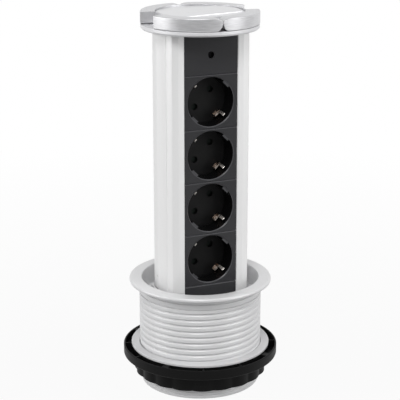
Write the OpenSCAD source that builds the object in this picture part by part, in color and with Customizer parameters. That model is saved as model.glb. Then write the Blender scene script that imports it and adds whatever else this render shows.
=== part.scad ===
// Pull-up desk socket tower: a D-shaped aluminium column with four earthed sockets slides in a threaded
// sleeve, and a hand nut clamps the sleeve in a round hole in a desk top.
// Z is up, the sleeve's lower end is at z = 0 on the sleeve's axis, and the sockets face -Y.

/* [Sleeve] */
// Width of the shoulder round the column, on which the guide ring lies
shoulder_w = 6.9; // [6.5:0.1:10]
// Rise of the thread in one turn
thread_rise = 5; // [4:0.5:6]
// Depth of the thread's groove
thread_depth = 0.9; // [0.6:0.1:1.2]
// Height of the sleeve, from its lower end to the top of its flange
sleeve_h = 89.8; // [85:0.1:110]
// How far the flange reaches past the thread over the desk top
flange_over = 8.1; // [5.5:0.1:14]
// Thickness of the flange
flange_t = 3.7; // [2.5:0.1:5]
// Wall of the sleeve round the opening that takes the lid
sleeve_wall = 2.2; // [1.9:0.05:2.6]
// Step in from the opening to the bore below the guide ring
bore_step = 1.7; // [1.2:0.1:2.2]
// Height of the plain neck under the flange
neck_h = 8.2; // [6:0.2:12]
// Step in from the thread's crests to the plain lower end
plain_end_step = 1.05; // [1:0.05:1.9]
// Height of the plain lower end
plain_end_h = 8; // [4:0.5:12]

/* [Guide ring] */
// Depth of the guide ring's top below the top of the flange
guide_drop = 15.8; // [14:0.1:20]
// Height of the guide ring
guide_h = 12; // [10:0.5:14]
// Thickness of the sleeve's shoulder under the guide ring
shoulder_t = 4; // [3:0.5:5]
// Gap between the column and the guide ring
guide_gap = 0.4; // [0.3:0.05:0.6]
// Height of the lips that stand on the guide ring and stop the lid
guide_lip_h = 9.8; // [6:0.1:10]
// Diameter of the detent plunger
plunger_d = 4; // [3:0.2:5]

/* [Clamp nut and washer] */
// How far the nut's rim reaches past the thread
nut_over = 13.6; // [11.5:0.1:19]
// Height of the nut's rim
nut_rim_h = 8; // [6:0.5:10]
// Thickness of the rim's outer wall
nut_rim_t = 1.4; // [1:0.1:2.5]
// How far the lobes of the grip reach past the thread
grip_over = 4.7; // [4:0.1:6.5]
// Height of the grip
grip_h = 14; // [10:0.5:16]
// Number of lobes round the grip
grip_lobes = 20; // [12:1:24]
// Height of the grip's lower end over the surface that the sleeve stands on
nut_z = 8.8; // [6:0.2:14]
// Number of ribs in the rim's channel
channel_ribs = 12; // [8:4:16]
// How far the clamp washer reaches past the thread
washer_over = 7; // [5:0.25:9]
// Thickness of the clamp washer
washer_t = 2; // [1.4:0.1:3]

/* [Column] */
// Radius of the column's round back
column_r = 38.2; // [37.8:0.1:38.4]
// How far the round back is centred ahead of the sleeve's axis
column_ahead = 1.5; // [0.5:0.1:1.8]
// Distance of the column's flat front from the axis
flat_y = 21.8; // [21:0.1:23]
// Slope of the bevels beside the flat front, in degrees
bevel_angle = 11; // [6:1:14]
// Half width of the flat front between the bevels
bevel_u = 27.9; // [27:0.1:29]
// Wall of the column
column_wall = 2.2; // [1.8:0.1:2.6]
// Height of the plain panel over the sockets, up to the lid
top_blank_h = 33.675; // [28:0.025:45]
// Width of the opening that shows the panels
panel_w = 45.5; // [44.5:0.1:46.5]
// How far the panels lie behind the column's flat front
panel_recess = 0.5; // [0.2:0.1:1]

/* [Sockets] */
// Wall between the cups of two sockets, which sets the distance between their middles
socket_bridge = 0.75; // [0.3:0.05:2]
// Height of the middle of the lowest socket over the top of the sleeve
socket_rise = 20.45; // [18:0.05:30]
// Diameter of a socket's recess
recess_d = 39.5; // [38.5:0.1:39.8]
// Depth of a socket's recess
recess_depth = 17.5; // [16.5:0.1:18]
// Distance between the two pin holes
pin_spacing = 19; // [18.6:0.1:19.4]
// Diameter of a pin hole
pin_hole_d = 5.5; // [5.2:0.1:6]
// Turn of the sockets in the panel, in degrees
socket_turn = 45; // [40:1:50]
// Width of the guide ribs
key_w = 6.4; // [5.6:0.1:7]
// Width of the earth clips
clip_w = 4.6; // [4:0.1:5.6]

/* [Lid] */
// Gap round the lid in the sleeve's opening
lid_play = 1.1; // [0.6:0.1:1.8]
// Thickness of the lid's base plate
lid_base_t = 3.7; // [3:0.1:5]
// Height of the lid's segmented ring
lid_ring_h = 10; // [8:0.1:12]
// Shadow gap between the base plate and the ring
lid_gap = 0.3; // [0.2:0.05:1]
// Width of the lid's ring round the inlaid disc
lid_ring_w = 11.7; // [11:0.1:13]
// Depth of the disc below the top of the ring
disc_drop = 1.3; // [0.6:0.1:2]
// Middle of the finger notches, in degrees round from the front
notch_middle = 89; // [80:1:100]
// Width of the finger notches, in degrees
notch_width = 32; // [24:1:40]

/* [Hidden] */
$fn = 96;

// Overlap that keeps a cutter or a joint of one piece clear of a shared face
eps = 0.05;
// Gap between two pieces that are fixed to each other
fit_gap = 0.1;
// Gap between two pieces that move past each other
run_gap = 0.35;
// Radial clearance of a turning or sliding fit
slide_fit = 0.06;
// A cutter's size that reaches past everything
far = 200;

// A socket's cup, and how much wider the column is made where a larger cup needs it
recess_r = recess_d / 2;
cup_wall = 1.5;
cup_r = recess_r + cup_wall;
cup_side = 1.5;
face_widen = max(0, cup_r + cup_side - panel_w / 2);
slot_half = panel_w / 2 + face_widen;
bevel_half = bevel_u + face_widen;
back_r = column_r + face_widen;

// The foot and the guide screws lie side by side in the sleeve's bore
column_back_r = back_r + column_ahead;
shoulder_catch = 1.3;
foot_r = column_back_r + shoulder_catch;
guide_foot_gap = 0.75;
guide_bore_gap = 0.45;
guide_head_r = (shoulder_w - shoulder_catch - guide_foot_gap - guide_bore_gap) / 2;
guide_head_h = 1.6;
guide_shank_r = 1;
guide_screw_r = foot_r + guide_foot_gap + guide_head_r;
guide_screw_angles = [30, 150, 270];

// Radii and heights on the sleeve; the thread's crests and the plain neck fit the hole in the desk top
bore_r = column_back_r + shoulder_w;
opening_r = bore_r + bore_step;
thread_r = opening_r + sleeve_wall;
flange_r = thread_r + flange_over;
plain_end_r = thread_r - plain_end_step;
flange_under_z = sleeve_h - flange_t;
neck_z = flange_under_z - neck_h;
flange_slope = 0.1;
flange_edge_r = (flange_t - flange_slope) / 2;
guide_top_z = sleeve_h - guide_drop;
guide_z = guide_top_z - guide_h;
shoulder_z = guide_z - shoulder_t;

// The thread: each point is a share of the pitch and a depth under the crest
thread_steps = 36;
thread_phase = 0.5;
thread_profile = [[0, 1], [0.2, 0.26], [0.5, 0], [0.8, 0.26]];
// Turns that a threaded rod starts below the piece, and that it has over the piece's own
thread_lead = 2;
thread_spare = 4;

// The column and the panels in it
face_y = -flat_y + panel_recess;
plate_t = 1.9;
lip = 2.6;
lip_t = 2;
plate_back_y = face_y + plate_t;
lip_back_y = plate_back_y + lip_t;
front_wall_y = plate_back_y - fit_gap;
rib_t = 1.8;
panel_gap = 0.2;
panel_chamfer = 0.4;
panel_top_chamfer = 0.8;
foot_gap = 0.4;
foot_t = 3.5;
foot_top_z = shoulder_z - foot_gap;
foot_z = foot_top_z - foot_t;
// Screw channels of the column: places in plan
channel_r = 3.4;
channel_bore_r = 1.5;
channel_out = 1.2;
channel_behind = 7;
channel_root = 1;
channel_front = [bevel_half + channel_out, -flat_y + channel_behind];
channel_back_angle = 52;
channel_back_at = back_r - column_wall - channel_r + channel_root;
channel_back = [channel_back_at * cos(channel_back_angle),
                channel_back_at * sin(channel_back_angle) - column_ahead];
channel_places = [[-channel_front[0], channel_front[1]], channel_front,
                  [-channel_back[0], channel_back[1]], channel_back];

// Depths behind a socket's face
floor_t = 2.3;
floor_back = recess_depth + floor_t;
shutter_t = 2;
hub_h = 3.2;
hub_r = 4.6;
hub_wall = 0.8;
hub_floor = 1;
pivot_r = 2.4;
pivot_h = 3.9;
strap_t = 0.8;
strap_at = floor_back + pivot_h;
bar_t = 1.2;
bar_w = 6;
sleeve_len = 8.3;
contact_r = 3.1;
contact_bore_r = 2.45;
bar_at = strap_at + strap_t + sleeve_len;
carrier_at = bar_at + bar_t;
carrier_t = 2.2;
pin_at = pin_spacing / 2;
pin_side = pin_at * cos(socket_turn);
pin_up = pin_at * sin(socket_turn);
post_r = 2.6;
post_at = cup_r - post_r - 0.2;
carrier_shank_r = 0.85;
clip_t = 0.8;
clip_at = recess_r - 1.9;
clip_nose = 3.6;
clip_tip_w = 2.4;
earth_bar_w = 4;
socket_h = 2 * cup_r + socket_bridge;
socket_low_z = sleeve_h + socket_rise;
socket_zs = [for (k = [3 : -1 : 0]) socket_low_z + k * socket_h];
panel_top_z = socket_zs[0] + socket_h / 2;
panel_low_z = socket_low_z - socket_h / 2;
column_top = panel_top_z + top_blank_h;

// The lid
lid_r = opening_r - lid_play;
base_top_z = column_top + lid_base_t;
ring_z = base_top_z + lid_gap;
ring_top_z = ring_z + lid_ring_h;
disc_r = lid_r - lid_ring_w;
disc_t = 2.4;
disc_top_z = ring_top_z - disc_drop;
disc_z = disc_top_z - disc_t;
bar_rise = 0.4;
disc_bar_half = 19;
disc_bar_turn = 10;
ring_inner_r = disc_r + 0.7;
cap_wall = 3.4;
web_t = 2.4;
cap_boss_at = 18;
cap_boss_r = 4;
cap_shank_r = 1.2;
tongue_w = 16;
tongue_t = 3;
blank_hole_z = (panel_top_z + column_top) / 2 - 1.1;
blank_hole_r = 2.75;
blank_boss_r = 4.6;
blank_boss_len = 4.8;
blank_sink = 1.8;
blank_shank_r = 1.3;
tongue_y = lip_back_y + blank_boss_len;

// The clamp nut
nut_r = thread_r + nut_over;
rim_z = nut_z + grip_h;
nut_top_z = rim_z + nut_rim_h;
washer_r = thread_r + washer_over;
channel_r_in = washer_r - 0.3;
channel_floor = 1.6;
grip_lobe_r = 18;

// Screws: the countersunk ones of the lid and the foot, and the room in their holes
sunk_head_r = 2.7;
sunk_shank_r = 1.4;
sunk_len = 14;
sunk_room = 0.1;

// Places of the small parts
guide_roof = 3;
guide_spare = 1;
guide_lip_angles = [180, 60];
plunger_z = guide_z + guide_h / 2;
plunger_r = plunger_d / 2;
plunger_len = 5;
side_x = back_r;
detent_hole_z = sleeve_h + 4.4;
gland_y = 7;
gland_r = 8;
gland_hex_r = 12;
gland_wall = 2.6;
gland_bore_r = 4.5;
gland_hex_h = 5;
gland_neck_h = 9;
locknut_h = 4;
gland_stub = 1;
gland_low_z = foot_z - gland_hex_h - gland_neck_h;
terminal_lift = 1;
terminal_z = foot_top_z + locknut_h + gland_stub + terminal_lift;
terminal_h = 13;
earth_tail = 6;
earth_low_z = terminal_z + terminal_h - earth_tail;
terminal_half = 13;
terminal_shank_r = 1.1;
terminal_gap = 2.6;
terminal_front = floor_back + terminal_gap;

// A point at a height and a radius, turned round the axis
function round_point(angle, r, z) = [r * cos(angle), r * sin(angle), z];

// A rod with a helical thread, from one height over a number of turns; the ends are closed to the axis
module thread_rod(z0, turns, r, depth) {
    n = len(thread_profile);
    count = turns * thread_steps;
    function corner(c, k) = k == n ? (c + thread_steps) * n : c * n + k;
    sides = [for (c = [0 : count + thread_steps], k = [0 : n - 1])
        round_point(360 * c / thread_steps, r - depth * thread_profile[k][1],
                    z0 + thread_rise * (c / thread_steps + thread_profile[k][0]))];
    low = len(sides);
    top = z0 + thread_rise * (turns + 2.5);
    points = concat(sides, [[0, 0, z0 - thread_rise], [0, 0, top]]);
    skin = [for (c = [0 : count - 1], k = [0 : n - 1]) each
        [[corner(c, k), corner(c, k + 1), corner(c + 1, k)],
         [corner(c + 1, k), corner(c, k + 1), corner(c + 1, k + 1)]]];
    low_end = concat([for (c = [0 : thread_steps - 1]) [low, corner(c, 0), corner(c + 1, 0)]],
                     [for (k = [0 : n - 1]) [low, corner(0, k + 1), corner(0, k)]]);
    high = low + 1;
    high_end = concat([for (c = [count : count + thread_steps - 1]) [high, corner(c + 1, 0), corner(c, 0)]],
                      [for (k = [0 : n - 1]) [high, corner(count, k), corner(count, k + 1)]]);
    polyhedron(points, concat(skin, low_end, high_end));
}

// A coil spring of round wire along Z: one tube with six sides, from z = 0 to its height
module coil(mean_r, wire_r, turns, height) {
    sides = 6;
    rings = turns * 12;
    points = [for (i = [0 : rings], s = [0 : sides - 1])
        let (reach = mean_r + wire_r * cos(360 * s / sides),
             lift = wire_r + (height - 2 * wire_r) * i / rings + wire_r * sin(360 * s / sides))
        round_point(360 * turns * i / rings, reach, lift)];
    skin = [for (i = [0 : rings - 1], s = [0 : sides - 1]) each
        let (t = (s + 1) % sides)
        [[i * sides + s, (i + 1) * sides + s, (i + 1) * sides + t],
         [i * sides + s, (i + 1) * sides + t, i * sides + t]]];
    first = [for (s = [1 : sides - 2]) [0, s, s + 1]];
    end = rings * sides;
    last = [for (s = [1 : sides - 2]) [end, end + s + 1, end + s]];
    polyhedron(points, concat(skin, first, last));
}

// A pan-head screw along Z: the head stands on z = 0 and the shank goes down, with a cross cut in the head
module pan_screw(head_r, head_h, shank_r, shank_len) {
    slot_w = head_r * 0.3;
    slot_l = head_r * 1.2;
    difference() {
        union() {
            cylinder(r = head_r, h = head_h);
            translate([0, 0, -shank_len]) cylinder(r = shank_r, h = shank_len + eps);
        }
        for (turn = [0, 90])
            rotate([0, 0, turn])
                translate([-slot_l / 2, -slot_w / 2, head_h / 2])
                    cube([slot_l, slot_w, head_h]);
    }
}

// A countersunk screw along Z: the top of the head is at z = 0
module sunk_screw(head_r, shank_r, shank_len) {
    sink = head_r - shank_r;
    slot_w = head_r * 0.3;
    slot_l = head_r * 1.2;
    difference() {
        union() {
            translate([0, 0, -sink]) cylinder(r1 = shank_r, r2 = head_r, h = sink);
            translate([0, 0, -shank_len]) cylinder(r = shank_r, h = shank_len - sink + eps);
        }
        for (turn = [0, 90])
            rotate([0, 0, turn])
                translate([-slot_l / 2, -slot_w / 2, -sink / 2])
                    cube([slot_l, slot_w, sink]);
    }
}

// The hole for a countersunk screw, a little wider than the screw
module sunk_hole(head_r, shank_r, depth) {
    sink = head_r - shank_r;
    mouth_r = head_r + sunk_room;
    hole_r = mouth_r - sink;
    translate([0, 0, -sink]) cylinder(r1 = hole_r, r2 = mouth_r, h = sink);
    translate([0, 0, -eps]) cylinder(r = mouth_r, h = 1);
    translate([0, 0, -depth]) cylinder(r = hole_r, h = depth);
}

// The frame of the panels: x to the right, y up and z out of the face at a height
module at_face(z) {
    translate([0, face_y, z]) rotate([90, 0, 0]) children();
}

// The column's outline in plan, made larger or smaller all round
module column_outline(grow) {
    cut_y = -flat_y - grow;
    slope = tan(bevel_angle);
    difference() {
        translate([0, -column_ahead]) circle(r = back_r + grow);
        polygon([[-far, cut_y - far], [far, cut_y - far], [far, cut_y + (far - bevel_half) * slope],
                 [bevel_half, cut_y], [-bevel_half, cut_y], [-far, cut_y + (far - bevel_half) * slope]]);
    }
}

// The sleeve: a rolled flange, a plain neck, a helical thread and a plain lower end round a stepped bore
module threaded_sleeve() {
    end_chamfer = 0.5;
    turns = ceil((neck_z - plain_end_h) / thread_rise + thread_spare);
    start = floor(plain_end_h / thread_rise - thread_lead) * thread_rise + thread_phase;
    color("silver") difference() {
        union() {
            intersection() {
                thread_rod(start, turns, thread_r, thread_depth);
                translate([0, 0, plain_end_h]) cylinder(r = far, h = neck_z - plain_end_h);
            }
            cylinder(r1 = plain_end_r - end_chamfer, r2 = plain_end_r, h = end_chamfer);
            translate([0, 0, end_chamfer]) cylinder(r = plain_end_r, h = plain_end_h - end_chamfer);
            translate([0, 0, neck_z]) cylinder(r = thread_r, h = sleeve_h - neck_z - flange_slope);
            rotate_extrude() flange_profile();
        }
        translate([0, 0, -eps]) cylinder(r = bore_r, h = shoulder_z + eps);
        translate([0, 0, shoulder_z - eps]) cylinder(r = column_back_r, h = shoulder_t + 2 * eps);
        translate([0, 0, guide_z]) cylinder(r = opening_r, h = sleeve_h);
        for (angle = guide_screw_angles)
            rotate([0, 0, angle])
                translate([guide_screw_r, 0, shoulder_z - eps])
                    cylinder(r = guide_shank_r + run_gap, h = shoulder_t + 2 * eps, $fn = 24);
    }
}

// Half section of the flange: a slightly falling top and a round outer edge
module flange_profile() {
    edge_z = flange_under_z + flange_edge_r;
    edge_at = flange_r - flange_edge_r;
    brow = 0.8;
    polygon([[opening_r - eps, flange_under_z], [edge_at, flange_under_z],
             [edge_at, sleeve_h - flange_slope], [opening_r + brow, sleeve_h],
             [opening_r - eps, sleeve_h]]);
    translate([edge_at, edge_z]) circle(r = flange_edge_r, $fn = 48);
}

// The guide ring: fills the sleeve's opening round the D-shaped column, holds the sprung detent and has
// two lips on which the lid comes to rest
module guide_ring() {
    color("gainsboro") difference() {
        union() {
            translate([0, 0, guide_z]) cylinder(r = opening_r - fit_gap, h = guide_h);
            for (angle = guide_lip_angles)
                translate([0, 0, guide_top_z - eps]) guide_lip(angle);
        }
        translate([0, 0, guide_z - eps]) linear_extrude(guide_h + 2 * eps) column_outline(guide_gap);
        translate([0, 0, plunger_z]) rotate([0, -90, 0])
            cylinder(r = plunger_r + slide_fit, h = far, $fn = 48);
        for (angle = guide_screw_angles)
            rotate([0, 0, angle])
                translate([guide_screw_r, 0, guide_z - eps])
                    cylinder(r = guide_shank_r + eps, h = guide_h - guide_roof, $fn = 24);
    }
}

// A thin curved lip beside the column, at an angle round the axis
module guide_lip(angle) {
    lip_gap = 1;
    thickness = 1.1;
    reach = 18;
    linear_extrude(guide_lip_h + eps) intersection() {
        difference() {
            column_outline(lip_gap + thickness);
            column_outline(lip_gap);
        }
        polygon([[0, 0], [far * cos(angle - reach), far * sin(angle - reach)],
                 [far * cos(angle + reach), far * sin(angle + reach)]]);
    }
}

// Three screws from below hold the guide ring on the sleeve's shoulder
module guide_screws() {
    shank = shoulder_t + guide_h - guide_roof - guide_spare;
    color("dimgray")
        for (angle = guide_screw_angles)
            rotate([0, 0, angle])
                translate([guide_screw_r, 0, shoulder_z])
                    rotate([180, 0, 0]) pan_screw(guide_head_r, guide_head_h, guide_shank_r, shank);
}

// The detent plunger: a pin with a round nose that the spring pushes against the column's side
module detent_plunger() {
    nose_x = side_x + run_gap;
    color("gold") translate([-nose_x, 0, plunger_z]) rotate([0, -90, 0]) {
        translate([0, 0, plunger_r]) sphere(r = plunger_r, $fn = 48);
        translate([0, 0, plunger_r]) cylinder(r = plunger_r, h = plunger_len - plunger_r, $fn = 48);
    }
}

// The spring behind the plunger, against the sleeve's wall
module detent_spring() {
    wire_r = 0.25;
    turns = 3;
    spring_x = side_x + run_gap + plunger_len + fit_gap;
    room = opening_r - spring_x - fit_gap;
    color("lightgray") translate([-spring_x, 0, plunger_z]) rotate([0, -90, 0])
        coil(plunger_r - wire_r - 0.3, wire_r, turns, room);
}

// The loose washer between the nut and the underside of the desk, with a notch at its inner edge
module clamp_washer() {
    notch_w = 5;
    notch_d = 2;
    color("lightsteelblue") difference() {
        translate([0, 0, nut_top_z]) cylinder(r = washer_r, h = washer_t);
        translate([0, 0, nut_top_z - eps]) cylinder(r = thread_r + run_gap, h = washer_t + 2 * eps);
        translate([thread_r - notch_d, -notch_w / 2, nut_top_z - eps])
            cube([2 * notch_d, notch_w, washer_t + 2 * eps]);
    }
}

// The clamp nut: a rim with an open ribbed channel over a lobed grip, threaded inside
module clamp_nut() {
    rib_w = 1.2;
    lug_w = 6;
    rib_drop = 3;
    rib_turn = 8.9;
    lobe_turn = 14.5;
    lobe_at = thread_r + grip_over - grip_lobe_r;
    channel_z = rim_z + channel_floor;
    start = floor(nut_z / thread_rise - thread_lead) * thread_rise + thread_phase;
    turns = ceil((grip_h + nut_rim_h) / thread_rise + thread_spare);
    color("dimgray") difference() {
        union() {
            difference() {
                translate([0, 0, rim_z]) cylinder(r = nut_r, h = nut_rim_h);
                difference() {
                    translate([0, 0, channel_z]) cylinder(r = nut_r - nut_rim_t, h = nut_rim_h);
                    translate([0, 0, channel_z - eps]) cylinder(r = channel_r_in, h = nut_rim_h + 2 * eps);
                    for (i = [0 : channel_ribs - 1])
                        let (width = i % 3 == 1 ? lug_w : rib_w)
                        rotate([0, 0, 360 * i / channel_ribs + rib_turn])
                            translate([channel_r_in - 1, -width / 2, channel_z - eps])
                                cube([nut_r - channel_r_in, width, nut_rim_h - rib_drop]);
                }
            }
            translate([0, 0, nut_z]) linear_extrude(grip_h + eps) union() {
                circle(r = lobe_at);
                for (i = [0 : grip_lobes - 1])
                    rotate(360 * i / grip_lobes + lobe_turn)
                        translate([lobe_at, 0]) circle(r = grip_lobe_r);
            }
        }
        thread_rod(start, turns, thread_r + run_gap, thread_depth);
    }
}

// The column: one D-shaped extrusion, open in front for the panels, with ribs that hold their lips
// and four screw channels for the lid and the foot
module column_extrusion() {
    inner_half = slot_half + lip + fit_gap;
    solid_half = slot_half + 0.7;
    rib_y = lip_back_y + fit_gap;
    detent_hole_r = 0.9;
    color("gainsboro") difference() {
        translate([0, 0, foot_top_z]) linear_extrude(column_top - foot_top_z) difference() {
            column_outline(0);
            difference() {
                column_outline(-column_wall);
                for (side = [-1, 1])
                    translate([side > 0 ? solid_half : -far, -far])
                        square([far - solid_half, far + rib_y + rib_t]);
                for (place = channel_places)
                    translate(place) circle(r = channel_r, $fn = 48);
            }
            translate([-slot_half, -far]) square([2 * slot_half, far + rib_y + rib_t]);
            translate([-inner_half, front_wall_y])
                square([2 * inner_half, rib_y - front_wall_y]);
            for (place = channel_places)
                translate(place) circle(r = channel_bore_r, $fn = 24);
        }
        translate([0, 0, detent_hole_z]) rotate([0, -90, 0])
            cylinder(r = detent_hole_r, h = far, $fn = 24);
    }
}

// The foot: closes the column, carries the cable gland and stops the column under the sleeve's shoulder
module foot_cap() {
    color("dimgray") difference() {
        translate([0, 0, foot_z]) cylinder(r = foot_r, h = foot_t);
        translate([0, gland_y, foot_z - eps]) cylinder(r = gland_r + fit_gap, h = foot_t + 2 * eps);
        for (place = channel_places)
            translate([place[0], place[1], foot_z])
                rotate([180, 0, 0]) sunk_hole(sunk_head_r, sunk_shank_r, foot_t + eps);
    }
}

// Four countersunk screws from below into the column's screw channels
module foot_screws() {
    color("silver")
        for (place = channel_places)
            translate([place[0], place[1], foot_z])
                rotate([180, 0, 0]) sunk_screw(sunk_head_r, sunk_shank_r, sunk_len);
}

// The gland's body: a threaded neck through the foot, a hexagon under it and a neck for the dome
module gland_body() {
    color("dimgray") translate([0, gland_y, 0]) difference() {
        union() {
            translate([0, 0, foot_z - gland_hex_h]) cylinder(r = gland_hex_r, h = gland_hex_h, $fn = 6);
            translate([0, 0, gland_low_z])
                cylinder(r = gland_r, h = foot_top_z + locknut_h + gland_stub - gland_low_z);
        }
        translate([0, 0, foot_z - far / 2]) cylinder(r = gland_r - gland_wall, h = far);
    }
}

// The lock nut that holds the gland in the foot
module gland_locknut() {
    color("dimgray") translate([0, gland_y, foot_top_z]) difference() {
        cylinder(r = gland_hex_r, h = locknut_h, $fn = 6);
        translate([0, 0, -eps]) cylinder(r = gland_r + fit_gap, h = locknut_h + 2 * eps);
    }
}

// The rubber seal that grips the cable inside the gland's neck
module gland_seal() {
    color("black") translate([0, gland_y, gland_low_z]) difference() {
        cylinder(r = gland_r - gland_wall - fit_gap, h = gland_neck_h);
        translate([0, 0, -eps]) cylinder(r = gland_bore_r, h = gland_neck_h + 2 * eps);
    }
}

// The domed nut that closes the gland on the seal
module gland_dome() {
    cone_h = 3;
    roof = 2.1;
    dome_h = gland_neck_h + roof - 0.1;
    grip_r = gland_hex_r - 0.6;
    color("dimgray") translate([0, gland_y, gland_low_z - roof - fit_gap]) difference() {
        union() {
            translate([0, 0, cone_h]) cylinder(r = grip_r, h = dome_h - cone_h, $fn = 12);
            cylinder(r1 = grip_r - cone_h, r2 = grip_r - 0.8, h = cone_h + eps);
        }
        translate([0, 0, -eps]) cylinder(r = gland_bore_r + run_gap, h = far);
        translate([0, 0, roof]) cylinder(r = gland_r + fit_gap, h = far);
    }
}

// One panel of the stack in the face's frame: a chamfered plate and the wider lips behind it
module panel_plate(low, high) {
    plate_half = slot_half - fit_gap;
    lip_half = slot_half + lip;
    translate([-plate_half, 0, 0]) rotate([90, 0, 90]) linear_extrude(2 * plate_half)
        polygon([[low, -plate_t - eps], [high, -plate_t - eps], [high, -panel_top_chamfer],
                 [high - panel_top_chamfer, 0], [low + panel_chamfer, 0], [low, -panel_chamfer]]);
    translate([-lip_half, low, -plate_t - lip_t]) cube([2 * lip_half, high - low, lip_t]);
}

// The plain panel under the sockets, which closes the column down to the foot
module bottom_blank() {
    color("#2b2b2d") at_face(0)
        panel_plate(foot_top_z + panel_gap, panel_low_z - panel_gap / 2);
}

// The plain panel over the sockets, with a deep screw hole in its middle
module top_blank() {
    color("#2b2b2d") at_face(0) difference() {
        union() {
            panel_plate(panel_top_z + panel_gap / 2, column_top - panel_gap);
            translate([0, blank_hole_z, -plate_t - lip_t - blank_boss_len])
                cylinder(r = blank_boss_r, h = blank_boss_len + eps);
        }
        translate([0, blank_hole_z, -plate_t - lip_t - blank_sink])
            cylinder(r = blank_hole_r, h = far, $fn = 48);
        translate([0, blank_hole_z, -far]) cylinder(r = blank_shank_r + fit_gap, h = far, $fn = 24);
    }
}

// The screw deep in that hole, which ties the top panel to the lid's tongue
module blank_screw() {
    head_h = 1.7;
    shank = blank_boss_len - blank_sink + tongue_t;
    color("black") at_face(blank_hole_z)
        translate([0, 0, -plate_t - lip_t - blank_sink])
            pan_screw(blank_hole_r - 2 * fit_gap, head_h, blank_shank_r, shank);
}

// An earthed socket: a panel plate with a deep round recess, two pin holes, two guide ribs in line with
// them, slots for the earth clip, and behind the floor the shutter's pivot and two screw posts
module socket(z) {
    half = socket_h / 2 - panel_gap / 2;
    rim_chamfer = 0.7;
    key_h = 1.8;
    key_drop = 0.9;
    clip_slot = clip_t + 0.8;
    clip_room = 0.3;
    post_hole_d = 9;
    color("#242426") at_face(z) difference() {
        union() {
            difference() {
                union() {
                    panel_plate(-half, half);
                    translate([0, 0, -floor_back]) cylinder(r = cup_r, h = floor_back - plate_t);
                }
                translate([0, 0, -recess_depth]) cylinder(r = recess_r, h = far);
                translate([0, 0, -rim_chamfer])
                    cylinder(r1 = recess_r, r2 = recess_r + rim_chamfer + eps, h = rim_chamfer + eps);
            }
            rotate([0, 0, socket_turn]) {
                for (side = [0, 180])
                    rotate([0, 0, side])
                        translate([recess_r - key_h, -key_w / 2, -recess_depth - eps])
                            cube([key_h + cup_wall / 2, key_w, recess_depth - key_drop]);
                for (side = [-1, 1])
                    translate([side * post_at, 0, -carrier_at])
                        cylinder(r = post_r, h = carrier_at - floor_back + eps, $fn = 32);
            }
            translate([0, 0, -strap_at]) cylinder(r = pivot_r, h = pivot_h + eps, $fn = 48);
        }
        rotate([0, 0, socket_turn]) for (side = [-1, 1]) {
            translate([side * pin_at, 0, -floor_back - eps])
                cylinder(d = pin_hole_d, h = floor_t + 2 * eps, $fn = 48);
            translate([-clip_w / 2 - clip_room, side * clip_at - clip_slot / 2, -floor_back - eps])
                cube([clip_w + 2 * clip_room, clip_slot, floor_t + 2 * eps]);
            translate([side * post_at, 0, -carrier_at - eps])
                cylinder(r = carrier_shank_r + eps, h = post_hole_d, $fn = 24);
        }
    }
}

// The safety shutter: a rotor on the pivot behind the floor whose two wings close the pin holes
module shutter(z) {
    wing_r = pin_hole_d / 2 + 0.8;
    arm_w = 4.4;
    color("darkslategray") at_face(z) rotate([0, 0, socket_turn])
        translate([0, 0, -floor_back - run_gap]) rotate([180, 0, 0]) difference() {
            union() {
                cylinder(r = hub_r, h = hub_h);
                translate([-pin_at, -arm_w / 2, 0]) cube([2 * pin_at, arm_w, shutter_t]);
                for (side = [-1, 1])
                    translate([side * pin_at, 0, 0]) cylinder(r = wing_r, h = shutter_t, $fn = 48);
            }
            translate([0, 0, -eps]) cylinder(r = pivot_r + slide_fit, h = hub_h + 2 * eps, $fn = 48);
            translate([0, 0, hub_floor]) cylinder(r = hub_r - hub_wall, h = hub_h, $fn = 48);
        }
}

// The shutter's return spring, a small coil round the pivot inside the hub
module shutter_spring(z) {
    wire_r = 0.18;
    turns = 2;
    color("lightgray") at_face(z)
        translate([0, 0, -floor_back - run_gap - hub_floor - fit_gap]) rotate([180, 0, 0])
            coil((pivot_r + hub_r - hub_wall) / 2, wire_r, turns, hub_h - hub_floor - 2 * fit_gap);
}

// The earth clip: one bent strip behind the floor whose two sprung ends stand up in the recess
module earth_clip(z) {
    reach = clip_at + clip_t / 2;
    tip_z = -recess_depth * 0.3;
    nose_z = -recess_depth * 0.58;
    knee_z = -recess_depth * 0.84;
    tip_in = 0.7;
    tongue_z = nose_z + 0.8;
    color("burlywood") at_face(z) rotate([0, 0, socket_turn]) {
        translate([-clip_w / 2, -reach, -strap_at - strap_t]) cube([clip_w, 2 * reach, strap_t]);
        for (side = [0, 180])
            rotate([0, 0, side]) intersection() {
                translate([clip_w / 2, 0, 0]) rotate([90, 0, -90]) linear_extrude(clip_w)
                    polygon([[-reach, -strap_at - eps], [-reach, knee_z], [-reach + clip_nose, nose_z],
                             [-reach + tip_in, tip_z], [-reach + tip_in + clip_t, tip_z],
                             [-reach + clip_nose + clip_t, nose_z], [-reach + clip_t, knee_z],
                             [-reach + clip_t, -strap_at - eps]]);
                rotate([90, 0, 0]) linear_extrude(2 * far, center = true) union() {
                    translate([-clip_w, -far]) square([2 * clip_w, far + tongue_z]);
                    translate([-clip_tip_w / 2, -far]) square([clip_tip_w, far]);
                }
            }
    }
}

// The earth bar: joins the four clips and runs down to the terminal block
module earth_bar() {
    bar_y = face_y + strap_at + strap_t;
    color("goldenrod")
        translate([-earth_bar_w / 2, bar_y, earth_low_z])
            cube([earth_bar_w, strap_t, socket_zs[0] + earth_bar_w - earth_low_z]);
}

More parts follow.
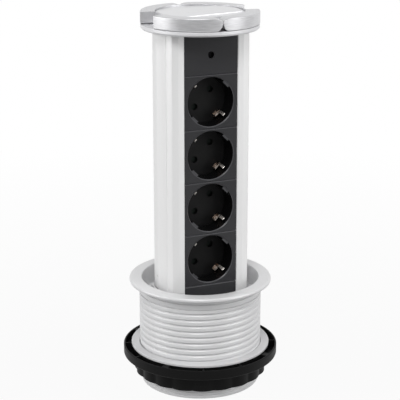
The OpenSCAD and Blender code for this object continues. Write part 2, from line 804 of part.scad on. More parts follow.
// A contact bar: a brass strip down the carrier with a slotted spring sleeve behind each pin hole
module contact_bar(side) {
    bar_low = terminal_z + 1;
    slit = 0.8;
    bottom = 0.4;
    slit_low = 1;
    color("goldenrod") difference() {
        union() {
            translate([side * pin_side - bar_w / 2, face_y + bar_at, bar_low])
                cube([bar_w, bar_t, socket_zs[0] + side * pin_up + bar_w / 2 - bar_low]);
            for (z = socket_zs)
                at_face(z) translate([side * pin_side, side * pin_up, -bar_at - eps])
                    cylinder(r = contact_r, h = sleeve_len + eps, $fn = 32);
        }
        for (z = socket_zs)
            at_face(z) translate([side * pin_side, side * pin_up, -bar_at + bottom]) {
                cylinder(r = contact_bore_r, h = far, $fn = 32);
                translate([-slit / 2, -2 * contact_r, slit_low]) cube([slit, 4 * contact_r, far]);
            }
    }
}

// The bar behind the lower left pin holes
module line_bar() {
    contact_bar(-1);
}

// The bar behind the upper right pin holes
module neutral_bar() {
    contact_bar(1);
}

// The carrier: an insulating channel behind the sockets, on which the bars lie
module contact_carrier() {
    inset = 2;
    half = cup_r - inset;
    wall = 1.8;
    screw_hole_r = 1.5;
    post_cover = 4;
    low = terminal_z - terminal_lift / 2;
    high = socket_zs[0] + post_at * sin(socket_turn) + post_cover;
    color("whitesmoke") difference() {
        translate([-half, face_y + floor_back, low])
            cube([2 * half, carrier_at + carrier_t - floor_back, high - low]);
        translate([-half + wall, face_y + floor_back - eps, low - eps])
            cube([2 * half - 2 * wall, carrier_at - floor_back + eps, high - low + 2 * eps]);
        for (z = socket_zs)
            at_face(z) rotate([0, 0, socket_turn])
                for (side = [-1, 1])
                    translate([side * post_at, 0, -far]) cylinder(r = screw_hole_r, h = far, $fn = 24);
    }
}

// Two screws for each socket from behind the carrier into the posts
module carrier_screws() {
    head_r = 2.4;
    head_h = 1.6;
    bite = 7;
    color("silver")
        for (z = socket_zs)
            at_face(z) rotate([0, 0, socket_turn])
                for (side = [-1, 1])
                    translate([side * post_at, 0, -carrier_at - carrier_t])
                        rotate([180, 0, 0]) pan_screw(head_r, head_h, carrier_shank_r, carrier_t + bite);
}

// The terminal block at the lower end of the bars, with three wire holes from below
module terminal_block() {
    foot_w = 3;
    foot_at = terminal_half - foot_w / 2;
    depth = bar_at - terminal_front;
    wire_r = 1.7;
    roof = 3;
    color("white") difference() {
        union() {
            translate([-terminal_half, face_y + terminal_front, terminal_z])
                cube([2 * terminal_half, depth, terminal_h]);
            for (side = [-1, 1])
                translate([side * foot_at - foot_w / 2, face_y + bar_at - eps, terminal_z])
                    cube([foot_w, bar_t + eps, terminal_h]);
        }
        for (u = [-pin_side, 0, pin_side]) {
            translate([u, face_y + terminal_front + depth / 2 + 1, terminal_z - eps])
                cylinder(r = wire_r, h = terminal_h - roof, $fn = 24);
            translate([u, face_y + terminal_front - eps, terminal_z + terminal_h / 3]) rotate([-90, 0, 0])
                cylinder(r = terminal_shank_r + fit_gap, h = depth / 2, $fn = 24);
        }
        translate([-earth_bar_w / 2 - fit_gap, face_y + strap_at + strap_t - fit_gap, earth_low_z - fit_gap])
            cube([earth_bar_w + 2 * fit_gap, strap_t + 2 * fit_gap, far]);
    }
}

// The three clamp screws of the terminal block, reached when the bottom panel is out
module terminal_screws() {
    head_r = 2;
    head_h = 1.4;
    bite = 4;
    color("silver")
        for (u = [-pin_side, 0, pin_side])
            translate([u, face_y + terminal_front, terminal_z + terminal_h / 3])
                rotate([90, 0, 0]) pan_screw(head_r, head_h, terminal_shank_r, bite);
}

// The lid's base plate, with a chamfered lower edge and a tongue down into the column
module lid_base() {
    chamfer = 1.3;
    base_r = lid_r - 0.2;
    tongue_low = blank_hole_z - blank_boss_r;
    color("silver") difference() {
        union() {
            translate([0, 0, column_top]) cylinder(r1 = base_r - chamfer, r2 = base_r, h = chamfer);
            translate([0, 0, column_top + chamfer]) cylinder(r = base_r, h = lid_base_t - chamfer);
            translate([-tongue_w / 2, tongue_y, tongue_low])
                cube([tongue_w, tongue_t, column_top - tongue_low + eps]);
        }
        for (place = channel_places)
            translate([place[0], place[1], base_top_z])
                sunk_hole(sunk_head_r, sunk_shank_r, lid_base_t + eps);
        for (side = [-1, 1])
            translate([side * cap_boss_at, 0, column_top - eps])
                cylinder(r = cap_shank_r + fit_gap, h = lid_base_t + 2 * eps, $fn = 24);
        translate([0, tongue_y - eps, blank_hole_z]) rotate([-90, 0, 0])
            cylinder(r = blank_shank_r + eps, h = tongue_t + 2 * eps, $fn = 24);
    }
}

// Four countersunk screws from above into the column's screw channels
module lid_screws() {
    color("silver")
        for (place = channel_places)
            translate([place[0], place[1], base_top_z]) sunk_screw(sunk_head_r, sunk_shank_r, sunk_len);
}

// Half section of the lid's ring, with rounded outer edges
module ring_profile() {
    edge = 0.8;
    height = lid_ring_h;
    translate([ring_inner_r - 1, ring_z]) square([lid_r - edge - ring_inner_r + 1, height]);
    translate([lid_r - edge - eps, ring_z + edge]) square([edge + eps, height - 2 * edge]);
    for (z = [ring_z + edge, ring_top_z - edge])
        translate([lid_r - edge, z]) circle(r = edge, $fn = 32);
}

// The lid's cap: a ring in four segments round a cored middle, with a finger notch on each side and,
// in front and behind, two full-round noses that almost meet
module lid_cap() {
    nose_r = lid_ring_h / 2 + 0.3;
    nose_gap = 0.5;
    nose_at = nose_r + nose_gap / 2;
    nose_in = 0.3;
    core_r = ring_inner_r - 0.5;
    color("silver") difference() {
        union() {
            rotate_extrude() ring_profile();
            translate([0, 0, base_top_z]) cylinder(r = core_r, h = disc_z - base_top_z);
            translate([0, 0, disc_z - eps]) difference() {
                cylinder(r = ring_inner_r, h = ring_top_z - disc_z + eps);
                translate([0, 0, -eps]) cylinder(r = disc_r + fit_gap, h = far);
            }
        }
        translate([0, 0, disc_z]) cylinder(r = disc_r + fit_gap, h = far);
        difference() {
            translate([0, 0, base_top_z - eps])
                cylinder(r = ring_inner_r - cap_wall, h = disc_z - web_t - base_top_z + eps);
            for (side = [-1, 1])
                translate([side * cap_boss_at, 0, base_top_z - far / 2])
                    cylinder(r = cap_boss_r, h = far, $fn = 32);
        }
        for (side = [-1, 1])
            translate([side * cap_boss_at, 0, disc_z])
                sunk_hole(sunk_head_r, cap_shank_r, disc_z - base_top_z + 1);
        for (side = [0, 180]) {
            rotate([0, 0, side - 90 - notch_middle - notch_width / 2]) difference() {
                rotate_extrude(angle = notch_width) translate([ring_inner_r, ring_z - eps])
                    square([lid_r, far]);
                translate([0, 0, base_top_z]) cylinder(r = ring_inner_r, h = 2 * far);
            }
            rotate([0, 0, side]) translate([0, nose_in - ring_inner_r, ring_z + lid_ring_h / 2])
                rotate([90, 0, 0]) linear_extrude(lid_r) difference() {
                    square([2 * nose_at, lid_ring_h + 2 * eps], center = true);
                    for (way = [-1, 1])
                        translate([way * nose_at, 0]) circle(r = nose_r, $fn = 64);
                }
        }
    }
}

// Two countersunk screws under the disc hold the cap on the base plate
module cap_screws() {
    color("silver")
        for (side = [-1, 1])
            translate([side * cap_boss_at, 0, disc_z])
                sunk_screw(sunk_head_r, cap_shank_r, disc_z - base_top_z + lid_base_t - fit_gap);
}

// The inlaid disc, with a chamfered edge and a low bar across its middle
module lid_disc() {
    chamfer = 0.7;
    bar_inset = 2;
    color("gainsboro") union() {
        translate([0, 0, disc_z]) cylinder(r = disc_r, h = disc_t - chamfer);
        translate([0, 0, disc_top_z - chamfer]) cylinder(r1 = disc_r, r2 = disc_r - chamfer, h = chamfer);
        intersection() {
            translate([0, 0, disc_z + disc_t / 2])
                cylinder(r = disc_r - bar_inset, h = disc_t / 2 + bar_rise);
            rotate([0, 0, disc_bar_turn]) translate([-far, -disc_bar_half, disc_z])
                cube([2 * far, 2 * disc_bar_half, disc_t + bar_rise]);
        }
    }
}

threaded_sleeve();
guide_ring();
guide_screws();
detent_plunger();
detent_spring();
clamp_washer();
clamp_nut();
column_extrusion();
foot_cap();
foot_screws();
gland_body();
gland_locknut();
gland_seal();
gland_dome();
bottom_blank();
top_blank();
blank_screw();
for (k = [0 : 3]) {
    socket(socket_zs[k]);
    shutter(socket_zs[k]);
    shutter_spring(socket_zs[k]);
    earth_clip(socket_zs[k]);
}
earth_bar();
line_bar();
neutral_bar();
contact_carrier();
carrier_screws();
terminal_block();
terminal_screws();
lid_base();
lid_screws();
lid_cap();
cap_screws();
lid_disc();
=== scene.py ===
import math

import bmesh
import bpy
from mathutils import Matrix, Vector


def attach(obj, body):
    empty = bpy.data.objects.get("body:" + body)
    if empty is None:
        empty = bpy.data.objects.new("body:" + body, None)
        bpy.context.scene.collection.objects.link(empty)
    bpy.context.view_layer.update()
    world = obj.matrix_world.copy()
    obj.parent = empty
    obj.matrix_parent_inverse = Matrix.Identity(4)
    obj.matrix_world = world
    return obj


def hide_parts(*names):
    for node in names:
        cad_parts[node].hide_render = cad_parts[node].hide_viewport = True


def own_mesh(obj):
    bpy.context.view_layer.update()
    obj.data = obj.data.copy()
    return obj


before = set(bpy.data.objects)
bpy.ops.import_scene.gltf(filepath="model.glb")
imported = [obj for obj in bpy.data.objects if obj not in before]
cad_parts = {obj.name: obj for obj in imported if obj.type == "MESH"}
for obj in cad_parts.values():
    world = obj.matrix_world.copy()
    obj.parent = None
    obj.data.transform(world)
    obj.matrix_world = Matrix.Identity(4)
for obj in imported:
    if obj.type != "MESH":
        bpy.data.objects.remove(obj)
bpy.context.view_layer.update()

# The studio: a long lens a little above the tower and to its left, a pale floor that runs out to
# white, a white backdrop, and five soft lamps at a plain level. None of it belongs to the object.
scene = bpy.context.scene
scene.view_settings.view_transform = "Standard"

FRONT_TURN = math.radians(23.745)
VIEW_DISTANCE, VIEW_HEIGHT, VIEW_PITCH = 1.03911, 0.45919, math.radians(16.655)
LENS_MM, SENSOR_MM, LENS_SHIFT, LENS_RANGE = 119.42, 36, (-0.0002, 0.01765), (0.05, 20)
to_camera = Vector((-math.sin(FRONT_TURN), -math.cos(FRONT_TURN), 0))
to_right = Vector((math.cos(FRONT_TURN), -math.sin(FRONT_TURN), 0))
lens = bpy.data.cameras.new("studio_lens")
lens.sensor_width = SENSOR_MM
lens.lens = LENS_MM
lens.shift_x, lens.shift_y = LENS_SHIFT
lens.clip_start, lens.clip_end = LENS_RANGE
camera = bpy.data.objects.new("studio_camera", lens)
scene.collection.objects.link(camera)
camera.location = to_camera * VIEW_DISTANCE + Vector((0, 0, VIEW_HEIGHT))
camera.rotation_euler = (math.pi / 2 - VIEW_PITCH, 0, -FRONT_TURN)
scene.camera = camera


def node(tree, kind, inputs=None, **settings):
    """A new node with its settings, then the values of its inputs by name or number."""
    made = tree.nodes.new(kind)
    for key, value in settings.items():
        setattr(made, key, value)
    for key, value in (inputs or {}).items():
        made.inputs[key].default_value = value
    return made


def ramp(tree, marks):
    """A colour ramp, with its marks as (position, colour) from low to high."""
    made = node(tree, "ShaderNodeValToRGB")
    elements = made.color_ramp.elements
    while len(elements) < len(marks):
        elements.new(0.5)
    for element, (position, colour) in zip(elements, marks):
        element.position = position
        element.color = colour
    return made


def wire(tree, *runs):
    """Links, each as (node, output, node, input) with the sockets by name or number."""
    for source, output, target, into in runs:
        tree.links.new(source.outputs[output], target.inputs[into])


# the backdrop behind the tower is white, also in metal, and the room is lightest round the horizon
WHITE = (1, 1, 1, 1)
ROOM_LEVELS = ((0.0, 0.12), (0.46, 0.12), (0.53, 0.52), (0.7, 0.52), (0.88, 0.18), (1.0, 0.18))
BACKDROP_FROM, BACKDROP_TO = -0.1, 0.7
world = bpy.data.worlds.new("studio_white")
world.use_nodes = True
scene.world = world
sky = world.node_tree
sky.nodes.clear()
sky_out = node(sky, "ShaderNodeOutputWorld")
sky_seen = node(sky, "ShaderNodeBackground", {"Color": WHITE, "Strength": 1})
sky_light = node(sky, "ShaderNodeBackground", {"Strength": 1})
sky_way = node(sky, "ShaderNodeTexCoord")
sky_apart = node(sky, "ShaderNodeSeparateXYZ")
sky_rise = node(sky, "ShaderNodeMapRange", {"From Min": -1, "From Max": 1})
sky_room = ramp(sky, [(rise, (level, level, level, 1)) for rise, level in ROOM_LEVELS])
sky_side = node(sky, "ShaderNodeVectorMath", {1: -to_camera}, operation="DOT_PRODUCT")
sky_behind = node(sky, "ShaderNodeMapRange", {"From Min": BACKDROP_FROM, "From Max": BACKDROP_TO},
                  interpolation_type="SMOOTHSTEP")
sky_path = node(sky, "ShaderNodeLightPath")
sky_mirror = node(sky, "ShaderNodeMath", operation="ADD")
sky_metal = node(sky, "ShaderNodeMath", operation="MULTIPLY")
sky_share = node(sky, "ShaderNodeMath", operation="MAXIMUM")
sky_mix = node(sky, "ShaderNodeMixShader")
wire(sky,
     (sky_way, "Generated", sky_apart, 0), (sky_apart, "Z", sky_rise, "Value"),
     (sky_rise, "Result", sky_room, "Fac"), (sky_room, "Color", sky_light, "Color"),
     (sky_way, "Generated", sky_side, 0), (sky_side, "Value", sky_behind, "Value"),
     (sky_path, "Is Glossy Ray", sky_mirror, 0), (sky_path, "Is Transmission Ray", sky_mirror, 1),
     (sky_mirror, 0, sky_metal, 0), (sky_behind, "Result", sky_metal, 1),
     (sky_path, "Is Camera Ray", sky_share, 0), (sky_metal, 0, sky_share, 1),
     (sky_share, 0, sky_mix, 0), (sky_light, 0, sky_mix, 1), (sky_seen, 0, sky_mix, 2),
     (sky_mix, 0, sky_out, "Surface"))

LAMP_AIM = 0.17


def soft_lamp(name, turn, distance, height, size, power):
    """An area lamp at a turn in degrees from the camera, to its right where positive."""
    data = bpy.data.lights.new(name, "AREA")
    data.shape = "RECTANGLE"
    data.size, data.size_y = size
    data.energy = power
    lamp = bpy.data.objects.new(name, data)
    scene.collection.objects.link(lamp)
    turn = math.radians(turn)
    place = (to_camera * math.cos(turn) + to_right * math.sin(turn)) * distance + Vector((0, 0, height))
    lamp.location = place
    lamp.rotation_euler = (Vector((0, 0, LAMP_AIM)) - place).to_track_quat("-Z", "Y").to_euler()


soft_lamp("lamp_left", -76, 1.25, 0.5, (0.9, 0.8), 7.8)
soft_lamp("lamp_right", 67, 1.25, 0.5, (0.9, 0.8), 6.8)
soft_lamp("lamp_front", -8, 0.92, 1.1, (0.5, 0.4), 6.8)
soft_lamp("lamp_high", -12, 0.48, 1.42, (0.5, 0.4), 0.9)
soft_lamp("lamp_kick", 75, 0.85, 1.15, (0.35, 0.35), 1.5)

# the floor lights the tower as a grey one, and is seen as white that dims a little under the tower
FLOOR_R, FLOOR_SIDES, FLOOR_GREY = 0.9, 96, (0.18, 0.18, 0.18, 1)
DIM_FROM, DIM_TO, DIM_WHITE = 0.15, 0.8, 0.95
floor_mesh = bpy.data.meshes.new("studio_floor")
floor_turns = [2 * math.pi * k / FLOOR_SIDES for k in range(FLOOR_SIDES)]
floor_rim = [(FLOOR_R * math.cos(turn), FLOOR_R * math.sin(turn), 0) for turn in floor_turns]
floor_mesh.from_pydata(floor_rim, [], [tuple(range(FLOOR_SIDES))])
floor = bpy.data.objects.new("studio_floor", floor_mesh)
scene.collection.objects.link(floor)
floor_paint = bpy.data.materials.new("studio_floor_paint")
floor_paint.use_nodes = True
tree = floor_paint.node_tree
tree.nodes.clear()
floor_out = node(tree, "ShaderNodeOutputMaterial")
floor_matt = node(tree, "ShaderNodeBsdfDiffuse", {"Color": FLOOR_GREY})
floor_glow = node(tree, "ShaderNodeEmission", {"Color": WHITE, "Strength": 1})
floor_path = node(tree, "ShaderNodeLightPath")
floor_mirror = node(tree, "ShaderNodeMath", operation="ADD")
floor_all = node(tree, "ShaderNodeMath", operation="MAXIMUM")
floor_share = node(tree, "ShaderNodeMath", operation="MULTIPLY")
floor_place = node(tree, "ShaderNodeTexCoord")
floor_reach = node(tree, "ShaderNodeVectorMath", operation="LENGTH")
floor_fade = node(tree, "ShaderNodeMapRange",
                  {"From Min": DIM_FROM, "From Max": DIM_TO, "To Min": DIM_WHITE, "To Max": 1})
floor_mix = node(tree, "ShaderNodeMixShader")
wire(tree,
     (floor_place, "Object", floor_reach, 0), (floor_reach, "Value", floor_fade, "Value"),
     (floor_path, "Is Glossy Ray", floor_mirror, 0), (floor_path, "Is Transmission Ray", floor_mirror, 1),
     (floor_path, "Is Camera Ray", floor_all, 0), (floor_mirror, 0, floor_all, 1),
     (floor_all, 0, floor_share, 0), (floor_fade, "Result", floor_share, 1),
     (floor_share, 0, floor_mix, 0), (floor_matt, 0, floor_mix, 1), (floor_glow, 0, floor_mix, 2),
     (floor_mix, 0, floor_out, "Surface"))
floor_mesh.materials.append(floor_paint)


# The sleeve: one light grey satin moulding with a rolled flange, a plain neck, a single-start thread and
# a plain lower end. It is turned here in one piece, with the thread as an unbroken helix. Sizes are in mm.
THREAD_R, THREAD_PITCH, THREAD_PHASE, THREAD_DEPTH = 50.5, 5.0, -0.3, 1.3
# share of the pitch above the groove's middle, share of the depth
THREAD_FORM = [(0.0, 1.0), (0.03, 0.93), (0.07, 0.70), (0.11, 0.42), (0.15, 0.20), (0.20, 0.07),
               (0.27, 0.01), (0.5, 0.0), (0.69, 0.02), (0.76, 0.10), (0.82, 0.26), (0.87, 0.48),
               (0.92, 0.74), (0.97, 0.94)]
SLEEVE_TOP, FLANGE_UNDER, NECK_LOW, PLAIN_TOP = 89.8, 86.1, 77.0, 8.0
FLANGE_R, UNDERCUT_R, MOUTH_R, BORE_R = 58.6, 49.4, 48.3, 46.6
SEAT_R, SEAT_TOP, SEAT_LOW, BORE_MIDDLE = 39.7, 62.0, 58.0, 40.0
# points nearer than this, in metres, are one, and a rounded corner takes at most this share of an edge
SAME_POINT, CORNER_SHARE = 1e-7, 0.49
# the height of the grain's bump, in metres
GRAIN_RELIEF = 0.00003


def linear(r, g, b):
    """A colour given as it shows on a screen, 0 to 255, as Blender's linear colour."""
    def one(v):
        v /= 255
        return v / 12.92 if v <= 0.04045 else ((v + 0.055) / 1.055) ** 2.4
    return (one(r), one(g), one(b), 1)


def thread_depth_at(z, angle):
    share = ((z - THREAD_PHASE) / THREAD_PITCH - angle / 360) % 1.0
    form = THREAD_FORM + [(1.0, 1.0)]
    for (a, d), (b, e) in zip(form, form[1:]):
        if share <= b:
            return d + (e - d) * (share - a) / (b - a)
    return 1.0


def turned(name, before, after, thread=None, columns=144):
    """A closed turning in mm. before and after are (r, z) lists, or give one for an angle, and thread is
    (low, high, crest r) between them."""
    per_turn = len(THREAD_FORM)
    rows = -1
    if thread:
        low, high, crest = thread
        rows = (math.ceil((high - low) / THREAD_PITCH) + 2) * per_turn
        base = (math.floor((low - THREAD_PHASE) / THREAD_PITCH) - 1) * THREAD_PITCH + THREAD_PHASE
    verts, faces = [], []
    for i in range(columns):
        angle = 360 * i / columns
        c, s = math.cos(math.radians(angle)), math.sin(math.radians(angle))
        first = before(angle) if callable(before) else before
        last = after(angle) if callable(after) else after
        helix = []
        for k in range(rows + 1):
            z = base + THREAD_PITCH * (k // per_turn + THREAD_FORM[k % per_turn][0] + angle / 360)
            z = min(max(z, low), high)
            helix.append((crest - THREAD_DEPTH * thread_depth_at(z, angle), z))
        for r, z in first + helix + last:
            verts.append((r * c / 1000, r * s / 1000, z / 1000))
    size, head = len(first) + rows + 1 + len(last), len(first)

    def corner(i, j):
        # the last column meets the first one, a turn further up the thread
        j %= size
        if i < columns:
            return i * size + j
        return head + min(j - head + per_turn, rows) if 0 <= j - head <= rows else j

    for i in range(columns):
        for j in range(size):
            faces.append((corner(i, j), corner(i + 1, j), corner(i + 1, j + 1), corner(i, j + 1)))
    mesh = bpy.data.meshes.new(name)
    mesh.from_pydata(verts, [], faces)
    return finish_mesh(name, mesh, smooth_angle=35)


def finish_mesh(name, mesh, smooth_angle):
    """Cleans a mesh, shades it smooth up to an angle in degrees, and gives the piece that shows it."""
    bm = bmesh.new()
    bm.from_mesh(mesh)
    bmesh.ops.remove_doubles(bm, verts=bm.verts, dist=SAME_POINT)
    bmesh.ops.dissolve_degenerate(bm, edges=bm.edges, dist=SAME_POINT)
    bmesh.ops.recalc_face_normals(bm, faces=bm.faces)
    bm.to_mesh(mesh)
    bm.free()
    for face in mesh.polygons:
        face.use_smooth = True
    mesh.set_sharp_from_angle(angle=math.radians(smooth_angle))
    piece = bpy.data.objects.new(name, mesh)
    scene.collection.objects.link(piece)
    return piece


def rounded(corners, steps=5):
    """Corner points (r, z, radius) of a closed outline become a list of (r, z) with those corners rounded."""
    points = []
    count = len(corners)
    for i, (x, y, radius) in enumerate(corners):
        here = Vector((x, y))
        if radius <= 0:
            points.append((x, y))
            continue
        a = Vector(corners[i - 1][:2]) - here
        b = Vector(corners[(i + 1) % count][:2]) - here
        half = a.angle(b) / 2
        reach = min(radius / math.tan(half), a.length * CORNER_SHARE, b.length * CORNER_SHARE)
        size = reach * math.tan(half)
        a.normalize()
        b.normalize()
        middle = here + (a + b).normalized() * (size / math.sin(half))
        first, last = here + a * reach, here + b * reach
        turn = (first - middle).angle_signed(last - middle)
        for k in range(steps + 1):
            arm = (first - middle).copy()
            arm.rotate(Matrix.Rotation(-turn * k / steps, 2))
            points.append(tuple(middle + arm))
    return points


def new_finish(name, colour, roughness, metallic=0.0, gloss=0.5):
    finish = bpy.data.materials.new(name)
    finish.use_nodes = True
    shader = finish.node_tree.nodes["Principled BSDF"]
    shader.inputs["Base Color"].default_value = colour
    shader.inputs["Roughness"].default_value = roughness
    shader.inputs["Metallic"].default_value = metallic
    shader.inputs["Specular IOR Level"].default_value = gloss
    return finish, finish.node_tree, shader


def shared_effect(name, inputs):
    """A node group that takes the given inputs and puts out Colour, Roughness and Height."""
    group = bpy.data.node_groups.new(name, "ShaderNodeTree")
    for label, kind, value in inputs:
        socket = group.interface.new_socket(label, in_out="INPUT", socket_type="NodeSocket" + kind)
        socket.default_value = value
    for label, kind in (("Colour", "Color"), ("Roughness", "Float"), ("Height", "Float")):
        group.interface.new_socket(label, in_out="OUTPUT", socket_type="NodeSocket" + kind)
    return group, node(group, "NodeGroupInput"), node(group, "NodeGroupOutput")


# fine grain of moulded plastic: tone, roughness and height that vary at the scale of spark erosion
grain, grain_in, grain_out = shared_effect("moulded_grain", [
    ("Colour", "Color", (0.5, 0.5, 0.5, 1)), ("Size", "Float", 2500.0), ("Tone", "Float", 0.08),
    ("Roughness", "Float", 0.5), ("Spread", "Float", 0.1)])
grain_place = node(grain, "ShaderNodeTexCoord")
grain_fine = node(grain, "ShaderNodeTexNoise", {"Detail": 3})
grain_wide = node(grain, "ShaderNodeTexNoise", {"Scale": 45, "Detail": 4})
grain_wide_shift = node(grain, "ShaderNodeMath", {1: 0.5}, operation="SUBTRACT")
grain_tone = node(grain, "ShaderNodeMath", {2: 1.0}, operation="MULTIPLY_ADD")
grain_colour = node(grain, "ShaderNodeVectorMath", operation="SCALE")
grain_fine_shift = node(grain, "ShaderNodeMath", {1: 0.5}, operation="SUBTRACT")
grain_rough = node(grain, "ShaderNodeMath", operation="MULTIPLY_ADD")
wire(grain,
     (grain_place, "Object", grain_fine, "Vector"), (grain_in, "Size", grain_fine, "Scale"),
     (grain_place, "Object", grain_wide, "Vector"), (grain_wide, "Fac", grain_wide_shift, 0),
     (grain_wide_shift, 0, grain_tone, 0), (grain_in, "Tone", grain_tone, 1),
     (grain_in, "Colour", grain_colour, 0), (grain_tone, 0, grain_colour, "Scale"),
     (grain_colour, 0, grain_out, "Colour"), (grain_fine, "Fac", grain_fine_shift, 0),
     (grain_fine_shift, 0, grain_rough, 0), (grain_in, "Spread", grain_rough, 1),
     (grain_in, "Roughness", grain_rough, 2), (grain_rough, 0, grain_out, "Roughness"),
     (grain_fine, "Fac", grain_out, "Height"))


def moulded(name, colour, roughness, size=2500.0, tone=0.08, spread=0.1, relief=0.1, gloss=0.5, metallic=0.0):
    finish, tree, shader = new_finish(name, colour, roughness, metallic, gloss)
    use = node(tree, "ShaderNodeGroup", {"Colour": colour, "Size": size, "Tone": tone,
                                         "Roughness": roughness, "Spread": spread}, node_tree=grain)
    bump = node(tree, "ShaderNodeBump", {"Strength": relief, "Distance": GRAIN_RELIEF})
    wire(tree, (use, "Colour", shader, "Base Color"), (use, "Roughness", shader, "Roughness"),
         (use, "Height", bump, "Height"), (bump, "Normal", shader, "Normal"))
    return finish


def settled(piece):
    """Takes a piece's modifiers into its mesh."""
    shaped = bpy.data.meshes.new_from_object(piece.evaluated_get(bpy.context.evaluated_depsgraph_get()))
    piece.modifiers.clear()
    old, piece.data = piece.data, shaped
    bpy.data.meshes.remove(old)
    shaped.name = piece.name


def placed(piece, finish, body, slot, *nodes, even_faces=True):
    """Gives a piece normals that keep its flats flat, then its material and its place in the assembly."""
    if even_faces:
        even = piece.modifiers.new("even", "WEIGHTED_NORMAL")
        even.keep_sharp = True
        settled(piece)
    piece.data.materials.clear()
    piece.data.materials.append(finish)
    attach(piece, body)
    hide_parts(*nodes)


sleeve_satin = moulded("sleeve_satin", linear(218, 218, 219), 0.34, size=3200, tone=0.03, spread=0.08,
                       relief=0.08, gloss=0.4, metallic=0.14)
# from the bore round the lower end with its two shallow rings, then from the thread's end up the neck, round
# the flange and down to the guide ring's seat
sleeve_below = rounded([
    (BORE_R, 0, 0.2), (48.9, 0, 0.6), (49.1, 2.4, 0.2), (48.4, 2.9, 0.2), (49.15, 3.4, 0.3), (49.3, 5.2, 0.2),
    (48.6, 5.7, 0.2), (49.35, 6.2, 0.3), (49.45, PLAIN_TOP, 0)])
sleeve_above = rounded([
    (THREAD_R, NECK_LOW, 0), (THREAD_R - 1.3, NECK_LOW + 0.3, 0.1), (THREAD_R, NECK_LOW + 0.9, 0.2),
    (THREAD_R, 81.2, 0.3), (UNDERCUT_R, 81.9, 0.3), (UNDERCUT_R, FLANGE_UNDER, 0.2),
    (FLANGE_R, FLANGE_UNDER, 1.6), (FLANGE_R, SLEEVE_TOP - 0.1, 1.8), (52.0, SLEEVE_TOP, 6.0),
    (MOUTH_R, SLEEVE_TOP, 0.7), (MOUTH_R, SEAT_TOP, 0.3), (SEAT_R, SEAT_TOP, 0.2), (SEAT_R, SEAT_LOW, 0.2),
    (BORE_R, SEAT_LOW, 0.3), (BORE_R, BORE_MIDDLE, 0)])
sleeve = turned("sleeve_turned", sleeve_below, sleeve_above, (PLAIN_TOP, NECK_LOW, THREAD_R))
placed(sleeve, sleeve_satin, "sleeve", "grey_sleeve", "threaded_sleeve", even_faces=False)


# The guide ring: the same grey plastic, a drop-in ring with a D-shaped hole that the column slides in.
# Three screws from below hold it, and a brass plunger with a small coil spring sits in its side.
# the height of the bump of bare metal, in metres
FINE_RELIEF = 0.00002


def small_metal(name, colour, roughness):
    """Bare metal of small turned or stamped bits, with fine marks in no direction."""
    finish, tree, shader = new_finish(name, colour, roughness, 1.0)
    place = node(tree, "ShaderNodeTexCoord")
    marks = node(tree, "ShaderNodeTexNoise", {"Scale": 900, "Detail": 4})
    rough = node(tree, "ShaderNodeMapRange", {"To Min": roughness - 0.08, "To Max": roughness + 0.12})
    bump = node(tree, "ShaderNodeBump", {"Strength": 0.08, "Distance": FINE_RELIEF})
    wire(tree, (place, "Object", marks, "Vector"), (marks, "Fac", rough, "Value"),
         (rough, "Result", shader, "Roughness"), (marks, "Fac", bump, "Height"),
         (bump, "Normal", shader, "Normal"))
    return finish


def dressed(finish, *names):
    """Gives CAD nodes that stay as they are their material."""
    for name in names:
        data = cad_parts[name].data
        data.materials.clear()
        data.materials.append(finish)


zinc_plate = small_metal("zinc_plate", linear(196, 198, 202), 0.34)
bright_brass = small_metal("bright_brass", linear(214, 176, 92), 0.28)
dressed(sleeve_satin, "guide_ring")
dressed(zinc_plate, "guide_screws")
dressed(bright_brass, "detent_plunger")

# the spring is a round-wire coil along X that gives way as the plunger is pushed in
SPRING_FROM, SPRING_TO, SPRING_Z, SPRING_TURNS = -43.65, -48.2, 68.0, 3
SPRING_R, WIRE_R, WIRE_SIDES, SPRING_RINGS = 1.45, 0.25, 10, 72
verts, faces = [], []
for i in range(SPRING_RINGS + 1):
    share = i / SPRING_RINGS
    turn = 2 * math.pi * SPRING_TURNS * share
    middle = SPRING_FROM - WIRE_R + (SPRING_TO - SPRING_FROM + 2 * WIRE_R) * share
    for k in range(WIRE_SIDES):
        around = 2 * math.pi * k / WIRE_SIDES
        out = SPRING_R + WIRE_R * math.cos(around)
        verts.append(((middle + WIRE_R * math.sin(around)) / 1000, out * math.sin(turn) / 1000,
                      (SPRING_Z + out * math.cos(turn)) / 1000))
for i in range(SPRING_RINGS):
    for k in range(WIRE_SIDES):
        a, b = i * WIRE_SIDES + k, i * WIRE_SIDES + (k + 1) % WIRE_SIDES
        faces.append((a, b, b + WIRE_SIDES, a + WIRE_SIDES))
faces += [tuple(range(WIRE_SIDES)), tuple(range(len(verts) - 1, len(verts) - 1 - WIRE_SIDES, -1))]
spring_mesh = bpy.data.meshes.new("detent_coil")
spring_mesh.from_pydata(verts, [], faces)
spring = finish_mesh("detent_coil", spring_mesh, smooth_angle=40)
placed(spring, zinc_plate, "sleeve", "zinc_steel", "detent_spring")
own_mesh(spring)


# The clamp washer: a loose pale plastic ring with softened edges that lies on the nut and bears on the
# desk. A notch at its inner edge lets it pass the thread's run-out.
WASHER_LOW, WASHER_TOP, WASHER_IN, WASHER_OUT = 30.8, 32.8, 50.85, 57.5
NOTCH_IN, NOTCH_HALF_TURN = 52.5, 3
washer_pale = moulded("washer_pale", linear(208, 208, 209), 0.45, size=2600, tone=0.03, spread=0.08)


def washer_section(angle):
    inner = NOTCH_IN if min(angle, 360 - angle) < NOTCH_HALF_TURN else WASHER_IN
    return rounded([(inner, WASHER_LOW, 0.25), (WASHER_OUT, WASHER_LOW, 0.4), (WASHER_OUT, WASHER_TOP, 0.5),
                    (inner, WASHER_TOP, 0.3)])


washer = turned("washer_pressed", washer_section, [])
placed(washer, washer_pale, "washer", "pale_washer", "clamp_washer")


